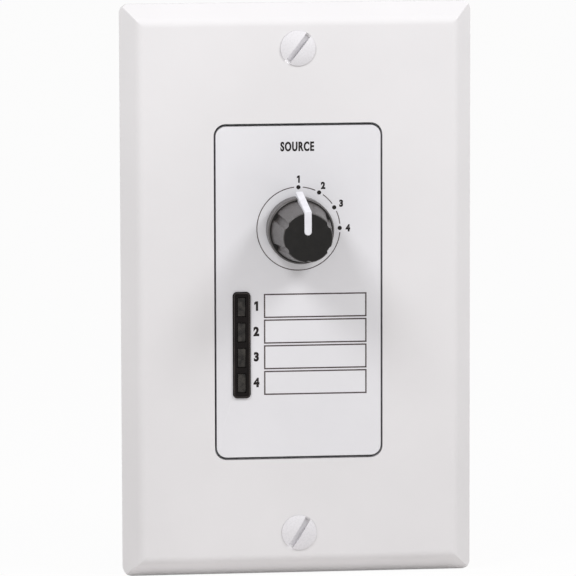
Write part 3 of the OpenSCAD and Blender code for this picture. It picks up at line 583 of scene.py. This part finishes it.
def boardFinish(name, dark, light, sheen):  # lacquer over woven glass
    finish, tree, shader, coords = startFinish(name)
    clouds = noiseAt(tree, coords, lacquer["cloudSize"], surface["cloudDetail"])
    cloth = tree.nodes.new("ShaderNodeMath")
    cloth.operation = "MULTIPLY"
    tree.links.new(weaveAt(tree, coords, "X"), cloth.inputs[0])
    tree.links.new(weaveAt(tree, coords, "Z"), cloth.inputs[1])
    tree.links.new(blendColours(tree, clouds, dark, light), shader.inputs["Base Color"])
    tree.links.new(spread(tree, clouds, sheen[0], sheen[1]), shader.inputs["Roughness"])
    addBump(tree, shader, cloth.outputs[0], lacquer["bump"], surface["lineHeight"])
    shader.inputs["Coat Weight"].default_value = lacquer["coat"]
    shader.inputs["Coat Roughness"].default_value = lacquer["coatRoughness"]
    return finish


boardGreen = boardFinish("boardGreen", srgb(16, 70, 44), srgb(24, 92, 58), (0.32, 0.46))
trackGreen = boardFinish("trackGreen", srgb(34, 104, 66), srgb(46, 122, 80), (0.26, 0.38))
print("finishes mixed:", len(bpy.data.materials))


# wall plate: one moulding, edges broken

plate = {
    "mitre": 1.1 * mm, "mitreSegments": 5, "mitreFrom": 0.3 * mm, "mitreTo": 5.2 * mm,
    "mitreDepth": -1.55 * mm, "slack": 0.02 * mm, "edge": 0.3 * mm, "segments": 3, "angle": 24,
}


def makePlate():
    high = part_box("wall_plate")[1]
    shell = bareCopy("wall_plate", "plate_shell")

    def onMitre(point):  # equally far from both rims
        side, end = high.x - abs(point.x), high.z - abs(point.z)
        return abs(side - end) < plate["slack"] and plate["mitreFrom"] < side < plate["mitreTo"]

    def along(first, second):
        outside = max(first.y, second.y) < plate["mitreDepth"]
        return outside and onMitre(first) and onMitre(second)

    bevelEdges(shell, along, plate["mitre"], plate["mitreSegments"])
    roundEdges(shell, plate["edge"], plate["segments"], plate["angle"])
    smooth(shell)
    dress(shell, plateWhite, "fixed", ["wall_plate"])


makePlate()


# plate screws: painted oval heads on a rolled thread

screw = {
    "edge": 0.16 * mm, "segments": 2, "angle": 35, "shade": 30,
    "headBack": -4.0 * mm, "centreInset": 3.5 * mm,
    "pitch": 0.794 * mm, "root": 1.36 * mm, "crest": 1.74 * mm,
    "profile": (("root", 0), ("root", 0.12), ("crest", 0.5), ("crest", 0.62), ("root", 1)),  # in pitches
    "threadSteps": 28, "threadShade": 40, "merge": 1e-7,
}


def cutThread(name, startY, endY, up):
    pitch = screw["pitch"]
    clearSelection()
    bpy.ops.mesh.primitive_plane_add(size=pitch)
    thread = added(name)
    startEdit(thread)
    bpy.ops.mesh.delete(type="VERT")
    mesh = bmesh.from_edit_mesh(thread.data)
    points = [mesh.verts.new((screw[reach], 0, share * pitch)) for reach, share in screw["profile"]]
    for first, second in zip(points, points[1:]):
        mesh.edges.new((first, second))
    bmesh.update_edit_mesh(thread.data)
    endEdit()
    wind = thread.modifiers.new("wind", "SCREW")
    wind.axis = "Z"
    wind.screw_offset = pitch
    wind.iterations = int((endY - startY) / pitch)
    wind.steps = screw["threadSteps"]
    wind.render_steps = screw["threadSteps"]
    wind.use_merge_vertices = True
    wind.merge_threshold = screw["merge"]
    bpy.ops.object.modifier_apply(modifier="wind")
    startEdit(thread)
    bpy.ops.mesh.remove_doubles(threshold=screw["merge"])
    bpy.ops.mesh.select_all(action="DESELECT")
    bpy.ops.mesh.select_mode(type="EDGE")
    bpy.ops.mesh.select_non_manifold()
    bpy.ops.mesh.edge_face_add()
    bpy.ops.mesh.select_all(action="SELECT")
    bpy.ops.mesh.normals_make_consistent(inside=False)
    endEdit()
    only(thread)
    thread.rotation_euler = (math.radians(-90), 0, 0)
    thread.location = (0, startY, up)
    bpy.ops.object.transform_apply(location=True, rotation=True, scale=True)
    smooth(thread, screw["threadShade"])
    return thread


def makePlateScrews():
    heads = softCopy("plate_screws", "plate_screw_heads", 0)
    startEdit(heads)
    neck = (0, screw["headBack"], 0)
    bpy.ops.mesh.bisect(plane_co=neck, plane_no=(0, 1, 0), use_fill=True, clear_outer=True)
    endEdit()
    roundEdges(heads, screw["edge"], screw["segments"], screw["angle"])
    smooth(heads, screw["shade"])
    dress(heads, screwWhite, "fixed", ["plate_screws"])
    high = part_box("plate_screws")[1]
    reach = high.z - screw["centreInset"]
    for name, up in (("plate_screw_thread_upper", reach), ("plate_screw_thread_lower", -reach)):
        thread = cutThread(name, screw["headBack"], high.y, up)
        dress(thread, zincSteel, "fixed")


makePlateScrews()
print("plate and its screws done")


# front panel

panel = {"edge": 0.12 * mm, "segments": 3, "angle": 40, "face": 5.7 * mm, "ink": 0.02 * mm}
panelShell = softCopy("front_panel", "panel_shell", panel["edge"], panel["segments"], panel["angle"])
dress(panelShell, panelWhite, "fixed", ["front_panel"])


# printed marks on the panel

dial = {
    "up": 12.6 * mm, "turns": (0, 30, 60, 90),
    "ringReach": 8.29 * mm, "ringWidth": 0.18 * mm, "ringGap": 6.0, "ringSteps": 360,
    "dotReach": 8.24 * mm, "dotSize": 0.42 * mm, "dotSteps": 48,
    "dotTop": 0.9, "dotRim": 0.04 * mm, "dotRise": 0.004 * mm,
    "numberReach": 9.85 * mm, "numberHeight": 1.45 * mm,
}
labels = {
    "left": -6.95 * mm, "right": 13.57 * mm, "height": 4.83 * mm, "line": 0.27 * mm,
    "rows": (-2.74 * mm, -7.87 * mm, -13.01 * mm, -18.15 * mm),
    "numberX": -8.48 * mm, "numberHeight": 1.9 * mm,
    "numberRows": (-2.74 * mm, -7.80 * mm, -12.87 * mm, -18.02 * mm),
}
title = {"word": "SOURCE", "x": -0.2 * mm, "up": 28.95 * mm, "height": 1.92 * mm, "width": 6.7 * mm,
         "bold": 0.045, "spacing": 1.2}
lettering = {"narrow": 0.86, "bold": 0.07, "curveSteps": 6, "merge": 1e-6, "flat": 0.2}


def thicken(piece, amount):
    startEdit(piece)
    bpy.ops.mesh.extrude_region_move(TRANSFORM_OT_translate={"value": (0, 0, amount)})
    bpy.ops.mesh.select_all(action="SELECT")
    bpy.ops.mesh.normals_make_consistent(inside=False)
    endEdit()


def onDial(stop, reach):  # clockwise from the top
    turn = math.radians(stop)
    return reach * math.sin(turn), dial["up"] + reach * math.cos(turn)


def printRing():
    clearSelection()
    inner = dial["ringReach"] - dial["ringWidth"] / 2
    bpy.ops.mesh.primitive_circle_add(vertices=dial["ringSteps"], radius=inner, fill_type="NOTHING")
    ring = added("dial_ring")
    grow = 1 + dial["ringWidth"] / inner
    startEdit(ring)
    bpy.ops.mesh.extrude_edges_move()
    bpy.ops.transform.resize(value=(grow, grow, grow))

    def inGap(middle, normal):
        turn = math.degrees(math.atan2(middle.x, middle.y))
        return any(abs(turn - stop) < dial["ringGap"] for stop in dial["turns"])

    selectFaces(ring, inGap)
    bpy.ops.mesh.delete(type="FACE")
    endEdit()
    thicken(ring, panel["ink"])
    placeFront(ring, 0, dial["up"], panel["face"])
    dress(ring, ringInk)


def printDots():
    for number, stop in enumerate(dial["turns"], 1):
        clearSelection()
        steps, size = dial["dotSteps"], dial["dotSize"]
        bpy.ops.mesh.primitive_circle_add(vertices=steps, radius=size, fill_type="NGON")
        dot = added("dial_dot_%d" % number)
        thicken(dot, panel["ink"])
        startEdit(dot)
        selectFaces(dot, lambda middle, normal: normal.z > dial["dotTop"])
        bpy.ops.mesh.inset(thickness=dial["dotRim"], depth=dial["dotRise"])
        endEdit()
        placeFront(dot, *onDial(stop, dial["dotReach"]), panel["face"])
        dress(dot, printInk)


figure = {"stem": 0.16, "flagDrop": 0.26, "flagOut": 0.17, "flagDown": 0.13}  # shares of the height


def figureOne(name, height, bold):  # the font's own is a bare bar
    stem = (figure["stem"] + bold) * height
    left = (figure["flagOut"] * height - stem) / 2
    foot = (0.5 - figure["flagDrop"]) * height

    def upperLeft(first, second):
        beside = max(first.x, second.x) < left + lettering["merge"]
        return beside and min(first.y, second.y) > foot - lettering["merge"]

    sign = sheet(name, stem, height)
    sign.location = (figure["flagOut"] * height / 2, 0, 0)
    bpy.ops.object.transform_apply(location=True)
    startEdit(sign)
    bpy.ops.mesh.bisect(plane_co=(0, foot, 0), plane_no=(0, 1, 0))
    selectEdges(sign, upperLeft)
    out = (-figure["flagOut"] * height, -figure["flagDown"] * height, 0)
    bpy.ops.mesh.extrude_edges_move(TRANSFORM_OT_translate={"value": out})
    endEdit()
    thicken(sign, panel["ink"])
    return sign


def letter(text, name, height, width=None, bold=lettering["bold"], spacing=1):  # bold in heights
    if text == "1":
        return figureOne(name, height, bold)
    clearSelection()
    bpy.ops.object.text_add()
    sign = added(name)
    sign.data.body = text
    sign.data.size = 1
    sign.data.space_character = spacing
    only(sign)
    bpy.ops.object.convert(target="CURVE")
    sign = added(name)
    heavier = bold * height
    tall = (height - 2 * heavier) / sign.dimensions.y
    across = (width - 2 * heavier) / sign.dimensions.x if width else tall * lettering["narrow"]
    sign.scale = (across, tall, 1)
    bpy.ops.object.transform_apply(location=False, rotation=False, scale=True)
    sign.data.offset = heavier
    sign.data.resolution_u = lettering["curveSteps"]
    bpy.ops.object.convert(target="MESH")
    sign = added(name)
    low, high = spanOf([vertex.co.copy() for vertex in sign.data.vertices])
    only(sign)
    sign.location = (-(low.x + high.x) / 2, -(low.y + high.y) / 2, -low.z)
    bpy.ops.object.transform_apply(location=True, rotation=True, scale=True)
    startEdit(sign)
    bpy.ops.mesh.remove_doubles(threshold=lettering["merge"])
    bpy.ops.mesh.dissolve_limited(angle_limit=math.radians(lettering["flat"]))
    bpy.ops.mesh.vert_connect_concave()
    endEdit()
    thicken(sign, panel["ink"])
    return sign


def printNumbers():
    for number, stop in enumerate(dial["turns"], 1):
        mark = letter(str(number), "dial_number_%d" % number, dial["numberHeight"])
        placeFront(mark, *onDial(stop, dial["numberReach"]), panel["face"])
        dress(mark, printInk)
    for number, up in enumerate(labels["numberRows"], 1):
        mark = letter(str(number), "label_number_%d" % number, labels["numberHeight"])
        placeFront(mark, labels["numberX"], up, panel["face"])
        dress(mark, printInk)
    word = letter(title["word"], "panel_title", title["height"], title["width"], title["bold"],
                  title["spacing"])
    placeFront(word, title["x"], title["up"], panel["face"])
    dress(word, printInk)


def outlineBox(name, width, height, line):  # a frame of ink round a bare field
    box = sheet(name, width, height)
    startEdit(box)
    bpy.ops.mesh.inset(thickness=line)
    bpy.ops.mesh.delete(type="FACE")
    endEdit()
    thicken(box, panel["ink"])
    return box


def printLabels():
    width = labels["right"] - labels["left"]
    for number, up in enumerate(labels["rows"], 1):
        box = outlineBox("label_box_%d" % number, width, labels["height"], labels["line"])
        placeFront(box, labels["left"] + width / 2, up, panel["face"])
        dress(box, ringInk)


printRing()
printDots()
printNumbers()
printLabels()
print("panel printed")


# indicators

window = {"edge": 0.16 * mm, "lensEdge": 0.22 * mm, "segments": 3, "angle": 40}
bezel = softCopy("indicator_bezel", "window_bezel", window["edge"], window["segments"], window["angle"])
dress(bezel, bezelBlack, "fixed", ["indicator_bezel"])
rim = {
    "faceDepth": 0.05 * mm, "inset": 0.18 * mm, "corner": 0.45 * mm, "cornerSegments": 6,
    "width": 0.13 * mm, "rise": 0.035 * mm, "edge": 0.012 * mm, "segments": 2, "angle": 40, "shade": 40,
}


def makeRim():  # fine bead round the bezel's front, coloured paler than the bezel as a painted highlight
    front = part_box("indicator_bezel")[0].y
    points = [vertex.co.copy() for vertex in bezel.data.vertices]
    low, high = spanOf([point for point in points if point.y < front + rim["faceDepth"]])
    bead = sheet("window_rim", high.x - low.x - 2 * rim["inset"], high.z - low.z - 2 * rim["inset"])
    startEdit(bead)
    bpy.ops.mesh.bevel(offset=rim["corner"], segments=rim["cornerSegments"], affect="VERTICES")
    bpy.ops.mesh.select_all(action="SELECT")
    bpy.ops.mesh.inset(thickness=rim["width"])
    bpy.ops.mesh.delete(type="FACE")
    endEdit()
    thicken(bead, rim["rise"])
    roundEdges(bead, rim["edge"], rim["segments"], rim["angle"])
    placeFront(bead, (low.x + high.x) / 2, (low.z + high.z) / 2, -front)
    smooth(bead, rim["shade"])
    dress(bead, rimPaintedHighlight)


makeRim()
for number in range(1, 5):
    node, name = "led_%d" % number, "indicator_lens_%d" % number
    lens = softCopy(node, name, window["lensEdge"], window["segments"], window["angle"])
    dress(lens, ledSmoke, "fixed", [node])


# selector knob

knob = {
    "edge": 0.13 * mm, "segments": 2, "angle": 36, "mattFacing": -0.8,
    "pointerEdge": 0.16 * mm, "pointerSegments": 3,
}
grip = softCopy("selector_knob", "knob_grip", knob["edge"], knob["segments"], knob["angle"])
dress(grip, knobBlackPaintedSheen, "selector", ["selector_knob"])
grip.data.materials.append(knobCap)  # the darker matt copy for the end disc and the ledge, the faces toward the room; the flanks keep the paler copy, whose lightness is painted sheen
for face in grip.data.polygons:
    if face.normal.y < knob["mattFacing"]:
        face.material_index = 1
pointer = softCopy("knob_pointer", "knob_mark", knob["pointerEdge"], knob["pointerSegments"])
dress(pointer, pointerWhite, "selector", ["knob_pointer"])
print("front pieces done")


# strap, switch, board and what is on it: the solids with broken edges

softPieces = {
    "mounting_strap": (0.12 * mm, zincSteel, "zinc_steel"),
    "panel_screws": (0.05 * mm, darkSteel, "dark_steel"),
    "strap_screws": (0.05 * mm, darkSteel, "dark_steel"),
    "board_screws": (0.16 * mm, zincSteel, "zinc_steel"),
    "standoffs": (0.14 * mm, standoffBrass, "standoff_brass"),
    "switch_frame": (0.2 * mm, castZinc, "cast_zinc"),
    "switch_base": (0.12 * mm, brownPlastic, "brown_plastic"),
    "switch_nut": (0.16 * mm, zincSteel, "zinc_steel"),
    "switch_washer": (0.05 * mm, zincSteel, "zinc_steel"),
    "switch_shaft": (0.1 * mm, shaftAluminium, "shaft_aluminium"),
    "led_spacer": (0.05 * mm, blackPlastic, "black_plastic"),
    "circuit_board": (0.06 * mm, boardGreen, "board_green"),
    "line_jack": (0.06 * mm, blackPlastic, "black_plastic"),
    "address_switch": (0.1 * mm, switchRed, "switch_red"),
    **{"address_slider_%d" % each: (0.12 * mm, sliderWhite, "slider_white") for each in range(1, 5)},
    "controller_chip": (0.14 * mm, chipBlack, "chip_black"),
    "regulator": (0.16 * mm, chipBlack, "chip_black"),
    "capacitor_base": (0.12 * mm, blackPlastic, "chip_black"),
    "crystal_can": (0.35 * mm, canSteel, "can_steel"),
    "chip_resistors": (0.06 * mm, chipBlack, "chip_black"),
    "chip_capacitors": (0.08 * mm, ceramicTan, "ceramic_tan"),
    "jack_contacts": (0.06 * mm, contactGold, "contact_gold"),
    "address_pins": (0.05 * mm, tinnedWire, "tinned_wire"),
    "led_leads": (0.06 * mm, tinnedWire, "tinned_wire"),
    "chip_pins": (0.03 * mm, tinnedWire, "tinned_wire"),
    "regulator_legs": (0.03 * mm, tinnedWire, "tinned_wire"),
    "switch_terminals": (0.06 * mm, contactBrass, "contact_brass"),
}
flatShade = {"circuit_board": 8}  # keeps its wide faces even round the holes
for node, (edge, finish, slot) in softPieces.items():
    piece = softCopy(node, node + "_finished", edge, shade=flatShade.get(node, shadeAngle))
    dress(piece, finish, bodyOf(node), [node])


# pieces inside the switch keep their solids

plainPieces = {
    "knob_clip": springSteel,
    "shaft_clip": springSteel,
    "detent_ball": springSteel,
    "detent_spring": springSteel,
    "switch_rotor": brownPlastic,
    "switch_wiper": contactBrass,
}
for node, finish in plainPieces.items():
    frame["nodes"][node].material_slots[0].material = finish
print("inner pieces done")


# board: where its pins and small parts are

board = {
    "rear": 11.6 * mm, "front": 10 * mm, "padRise": 0.03 * mm, "padMargin": 0.16 * mm,
    "tipDepth": 0.25 * mm, "footDepth": 0.3 * mm,
}


def islands(node):  # the corner points of each separate body in a node
    mesh = bmesh.new()
    mesh.from_mesh(frame["nodes"][node].data)
    bmesh.ops.remove_doubles(mesh, verts=mesh.verts, dist=solids["merge"])
    found, seen = [], set()
    for start in mesh.verts:
        if start in seen:
            continue
        group, todo = [], [start]
        seen.add(start)
        while todo:
            vertex = todo.pop()
            group.append(vertex.co.copy())
            for edge in vertex.link_edges:
                other = edge.other_vert(vertex)
                if other not in seen:
                    seen.add(other)
                    todo.append(other)
        found.append(group)
    mesh.free()
    return found


def tipOf(points, behind):  # where a lead ends, behind the board or in front of it
    end = max(point.y for point in points) if behind else min(point.y for point in points)
    tip = [point for point in points if abs(point.y - end) < board["tipDepth"]]
    return sum(point.x for point in tip) / len(tip), sum(point.z for point in tip) / len(tip)


def turnedUp(name, profile, steps):  # a round piece, drawn from the foot to the top in mm
    clearSelection()
    bpy.ops.mesh.primitive_circle_add(vertices=steps, radius=profile[0][0] * mm, fill_type="NGON")
    piece = added(name)
    startEdit(piece)
    for (reach, height), (nextReach, nextHeight) in zip(profile, profile[1:]):
        rise = (nextHeight - height) * mm
        bpy.ops.mesh.extrude_region_move(TRANSFORM_OT_translate={"value": (0, 0, rise)})
        share = nextReach / reach
        bpy.ops.transform.resize(value=(share, share, 1))
    bpy.ops.mesh.select_all(action="SELECT")
    bpy.ops.mesh.normals_make_consistent(inside=False)
    endEdit()
    return piece


# solder joints: one fillet, copied to each lead

solder = {
    "profile": ((0.92, 0), (0.92, 0.04), (0.7, 0.13), (0.52, 0.3), (0.43, 0.5), (0.37, 0.66)),
    "steps": 20, "shade": 50,
    "rear": {"led_leads": 1.0, "switch_terminals": 1.25},  # shares of the fillet's width
    "front": {"jack_contacts": 0.62, "address_pins": 0.85},
}


def solderJoints(side, name):
    behind = side == "rear"
    joints = []
    for node, share in solder[side].items():
        for points in islands(node):
            x, up = tipOf(points, behind)
            fillet = ownCopy(filletShape, name)
            fillet.scale = (share, share, 1)
            if behind:
                placeRear(fillet, x, up, board["rear"])
            else:
                placeFront(fillet, x, up, -board["front"])
            joints.append(fillet)
    dress(joined(joints, name), solderTin)


filletShape = turnedUp("fillet", solder["profile"], solder["steps"])
smooth(filletShape, solder["shade"])
solderJoints("rear", "solder_rear")
solderJoints("front", "solder_front")
bpy.data.objects.remove(filletShape)


# small parts: tinned ends and their pads

smallParts = {
    "endLength": 0.42 * mm, "swell": 0.03 * mm, "edge": 0.07 * mm, "padLength": 0.95 * mm, "shade": 40,
}


def tinnedEnds(node, name):
    bodies = islands(node)
    low, high = spanOf(bodies[0])
    size = high - low
    length, width = max(size.x, size.z), min(size.x, size.z)
    clearSelection()
    bpy.ops.mesh.primitive_cube_add(size=1)
    end = added(name)
    end.scale = (smallParts["endLength"], size.y + smallParts["swell"], width + 2 * smallParts["swell"])
    outward = length / 2 + smallParts["swell"] - smallParts["endLength"] / 2
    end.location = (outward, smallParts["swell"] / 2, 0)
    bpy.ops.object.transform_apply(location=True, scale=True)
    roundEdges(end, smallParts["edge"])
    pad = sheet(name, smallParts["padLength"], width + 2 * board["padMargin"])
    thicken(pad, board["padRise"])
    placeRear(pad, length / 2, 0, -size.y / 2)
    end = joined([end, pad], name)
    smooth(end, smallParts["shade"])
    ends = []
    for points in bodies:
        low, high = spanOf(points)
        middle = (low + high) / 2
        upright = high.z - low.z > high.x - low.x
        for turn in (0, 180):
            twin = ownCopy(end, name)
            only(twin)
            twin.rotation_euler = (0, math.radians(turn + (90 if upright else 0)), 0)
            twin.location = middle
            bpy.ops.object.transform_apply(location=True, rotation=True, scale=True)
            ends.append(twin)
    bpy.data.objects.remove(end)
    dress(joined(ends, name), solderTin)


def footPads(node, name):  # under the legs of the chips
    pads = []
    for points in islands(node):
        low, high = spanOf([point for point in points if point.y < board["rear"] + board["footDepth"]])
        pad = sheet(name, high.x - low.x + 2 * board["padMargin"], high.z - low.z + board["padMargin"])
        thicken(pad, board["padRise"])
        placeRear(pad, (low.x + high.x) / 2, (low.z + high.z) / 2, board["rear"])
        pads.append(pad)
    dress(joined(pads, name), solderTin)


tinnedEnds("chip_resistors", "resistor_ends")
tinnedEnds("chip_capacitors", "ceramic_ends")
footPads("chip_pins", "chip_pads")
footPads("regulator_legs", "regulator_pads")
print("joints and pads done")


# copper runs under the lacquer, placed in mm

tracks = {
    "width": 0.36 * mm, "rise": 0.14, "roundSteps": 2, "merge": 1e-7, "shade": 50,
    "leadX": -11.4, "leadStep": 1.27, "ledRows": (-2.88, -7.96, -13.04, -18.12),
    "resistorX": -13.6, "resistorHalf": 0.9, "resistorTurn": 0.6, "busX": -14.85, "busDrop": 1.1,
    "climbX": (-10.3, -9.75, -9.2, -8.65), "crossUp": (2.0, 1.35, 0.7, 0.05), "corner": 0.5,
    "chipX": 8.3, "chipUp": (4.0, 2.73, 1.46, 0.19), "chipLead": 1,
    "others": (
        ((-14.85, -19.2), (-14.85, 7.6), (-13.6, 8.8), (-11.1, 8.8), (-11.1, 9.6)),
        ((5.2, 12.6), (6.6, 12.6), (7.2, 12.0), (7.2, 7.0), (7.66, 6.54), (8.3, 6.54)),
        ((4.5, 15.2), (7.2, 15.2), (7.8, 14.6), (7.8, 8.3), (8.3, 7.81)),
        ((2.6, 17.1), (2.6, 18.6), (3.81, 19.8), (3.81, 21.6)),
        ((0, 17.8), (0, 18.8), (-1.27, 20.0), (-1.27, 21.6)),
        ((0, 12.6), (-6.6, 12.6), (-7.4, 13.0)),
        ((-3.81, 21.6), (-3.81, 20.6), (-4.4, 20.0), (-11.9, 20.0), (-12.4, 20.4)),
        ((1.27, 21.6), (1.27, 19.3)),
        ((6.5, 5.27), (8.3, 5.27)),
        ((-14.8, 20.2), (-14.8, 27.2)),
        ((14.8, 27.2), (14.8, 17.4), (14.2, 16.8)),
        ((12.4, 20.4), (10.6, 20.4), (9.9, 19.7), (9.9, 18.2)),
        ((13.4, -4.9), (14.7, -3.6), (14.7, -0.3), (14.2, 0.19)),
        ((11.0, -4.9), (11.0, -2.8), (9.6, -1.4), (9.6, -0.7)),
    ),
    "through": ((1.27, 19.3), (6.5, 5.27)),  # plated holes to the other side
    "throughProfile": ((0.36, 0), (0.36, 0.04), (0.32, 0.055), (0.18, 0.055), (0.15, 0.02)),
    "throughSteps": 24, "throughShade": 40,
}


def trackRuns():
    runs = list(tracks["others"])
    leadX, resistorX, half = tracks["leadX"], tracks["resistorX"], tracks["resistorHalf"]
    corner, chipX = tracks["corner"], tracks["chipX"]
    turnX = chipX - tracks["chipLead"]
    columns = (tracks[key] for key in ("ledRows", "climbX", "crossUp", "chipUp"))
    for row, climb, cross, pin in zip(*columns):
        upper, lower = row + tracks["leadStep"], row - tracks["leadStep"]
        bendX = resistorX + tracks["resistorTurn"]
        runs.append(((leadX, upper), (bendX, upper), (resistorX, row + half)))
        runs.append(((resistorX, row - half), (tracks["busX"], row - tracks["busDrop"])))
        rising = ((leadX, lower), (climb - corner, lower), (climb, lower + corner))
        across = ((climb, cross - corner), (climb + corner, cross), (turnX - (pin - cross), cross))
        runs.append(rising + across + ((turnX, pin), (chipX, pin)))
    return runs


def drawTracks():
    path = bpy.data.curves.new("board_tracks", "CURVE")
    path.dimensions = "3D"
    path.bevel_depth = tracks["width"] / 2
    path.bevel_resolution = tracks["roundSteps"]
    path.use_fill_caps = True
    for run in trackRuns():
        spline = path.splines.new("POLY")
        spline.points.add(len(run) - 1)
        for point, (x, up) in zip(spline.points, run):
            point.co = (-x * mm, up * mm, 0, 1)
    piece = bpy.data.objects.new("board_tracks", path)
    bpy.context.scene.collection.objects.link(piece)
    only(piece)
    bpy.ops.object.convert(target="MESH")
    copper = added("board_tracks")
    startEdit(copper)
    bpy.ops.mesh.remove_doubles(threshold=tracks["merge"])  # closes the ends
    bpy.ops.mesh.normals_make_consistent(inside=False)
    endEdit()
    copper.scale = (1, 1, tracks["rise"])
    bpy.ops.object.transform_apply(scale=True)
    placeRear(copper, 0, 0, board["rear"])
    smooth(copper, tracks["shade"])
    dress(copper, trackGreen)


def drawThroughHoles():
    shape = turnedUp("through", tracks["throughProfile"], tracks["throughSteps"])
    smooth(shape, tracks["throughShade"])
    rings = []
    for x, up in tracks["through"]:
        ring = ownCopy(shape, "board_through_holes")
        placeRear(ring, x * mm, up * mm, board["rear"])
        rings.append(ring)
    bpy.data.objects.remove(shape)
    dress(joined(rings, "board_through_holes"), solderTin)


drawTracks()
drawThroughHoles()


# white print on the board and on the address switch

silk = {
    "line": 0.16 * mm, "numberHeight": 0.95 * mm, "bold": 0.03, "fromEdge": 0.8 * mm,
    "wordHeight": 0.9 * mm, "wordSpacing": 1.1, "wordInset": 1.4 * mm,
    "margins": {"address_switch": (0.5 * mm, 1.25 * mm), "capacitor_base": (0.35 * mm, 0.35 * mm),
                "crystal_can": (0.3 * mm, 0.3 * mm), "line_jack": (0.4 * mm, 0.4 * mm)},
}
firstPin = {
    "dot": ((0.3, 0), (0.3, 0.012), (0.27, 0.018)), "dotSteps": 24,
    "dotOut": 1.1 * mm, "dotUp": 0.6 * mm,
    "dimple": ((0.42, 0), (0.42, 0.012), (0.34, 0.012), (0.26, 0.004)), "dimpleSteps": 28,
    "dimpleIn": 0.75 * mm, "dimpleDown": 0.8 * mm,
}


def printBoard():
    for node, (side, end) in silk["margins"].items():
        low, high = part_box(node)
        width, height = high.x - low.x + 2 * side, high.z - low.z + 2 * end
        box = outlineBox("print_" + node, width, height, silk["line"])
        placeRear(box, (low.x + high.x) / 2, (low.z + high.z) / 2, board["rear"])
        dress(box, silkWhite)
    low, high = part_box("controller_chip")
    dot = turnedUp("print_first_pin", firstPin["dot"], firstPin["dotSteps"])
    placeRear(dot, low.x - firstPin["dotOut"], high.z + firstPin["dotUp"], board["rear"])
    dress(dot, silkWhite)
    dimple = turnedUp("chip_dimple", firstPin["dimple"], firstPin["dimpleSteps"])
    placeRear(dimple, low.x + firstPin["dimpleIn"], high.z - firstPin["dimpleDown"], high.y)
    dress(dimple, bezelBlack)


def printSwitch():
    low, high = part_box("address_switch")
    for number in range(1, 5):
        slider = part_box("address_slider_%d" % number)
        mark = letter(str(number), "switch_number_%d" % number, silk["numberHeight"], bold=silk["bold"])
        placeRear(mark, (slider[0].x + slider[1].x) / 2, low.z + silk["fromEdge"], high.y)
        dress(mark, silkWhite)
    mark = letter("ON", "switch_on", silk["wordHeight"], bold=silk["bold"], spacing=silk["wordSpacing"])
    placeRear(mark, high.x - silk["wordInset"], high.z - silk["fromEdge"], high.y)
    dress(mark, silkWhite)


printBoard()
printSwitch()


# capacitor: drawn can with its crimp and a dark sector on the end

can = {
    "profile": ((2.72, 0), (3.08, 0.22), (3.08, 0.62), (2.86, 0.9), (2.86, 1.1), (3.08, 1.38),
                (3.08, 6.02), (3.02, 6.2), (2.9, 6.33), (2.74, 6.39), (2.4, 6.39), (2.34, 6.33)),
    "steps": 64, "shade": 38,
    "sectorReach": 2.28 * mm, "sectorFrom": 0.85 * mm, "topSink": 0.07 * mm,
}


def makeCapacitor():
    low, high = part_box("capacitor_can")
    x, up = (low.x + high.x) / 2, (low.z + high.z) / 2
    shell = turnedUp("capacitor_shell", can["profile"], can["steps"])
    placeRear(shell, x, up, low.y)
    smooth(shell, can["shade"])
    dress(shell, canAluminium, "fixed", ["capacitor_can"])
    clearSelection()
    bpy.ops.mesh.primitive_circle_add(vertices=can["steps"], radius=can["sectorReach"], fill_type="NGON")
    sector = added("capacitor_mark")
    startEdit(sector)
    bpy.ops.mesh.bisect(plane_co=(can["sectorFrom"], 0, 0), plane_no=(1, 0, 0), clear_inner=True)
    endEdit()
    thicken(sector, panel["ink"])
    placeRear(sector, x, up, high.y - can["topSink"])
    dress(sector, printInk)


makeCapacitor()
print("board dressed")
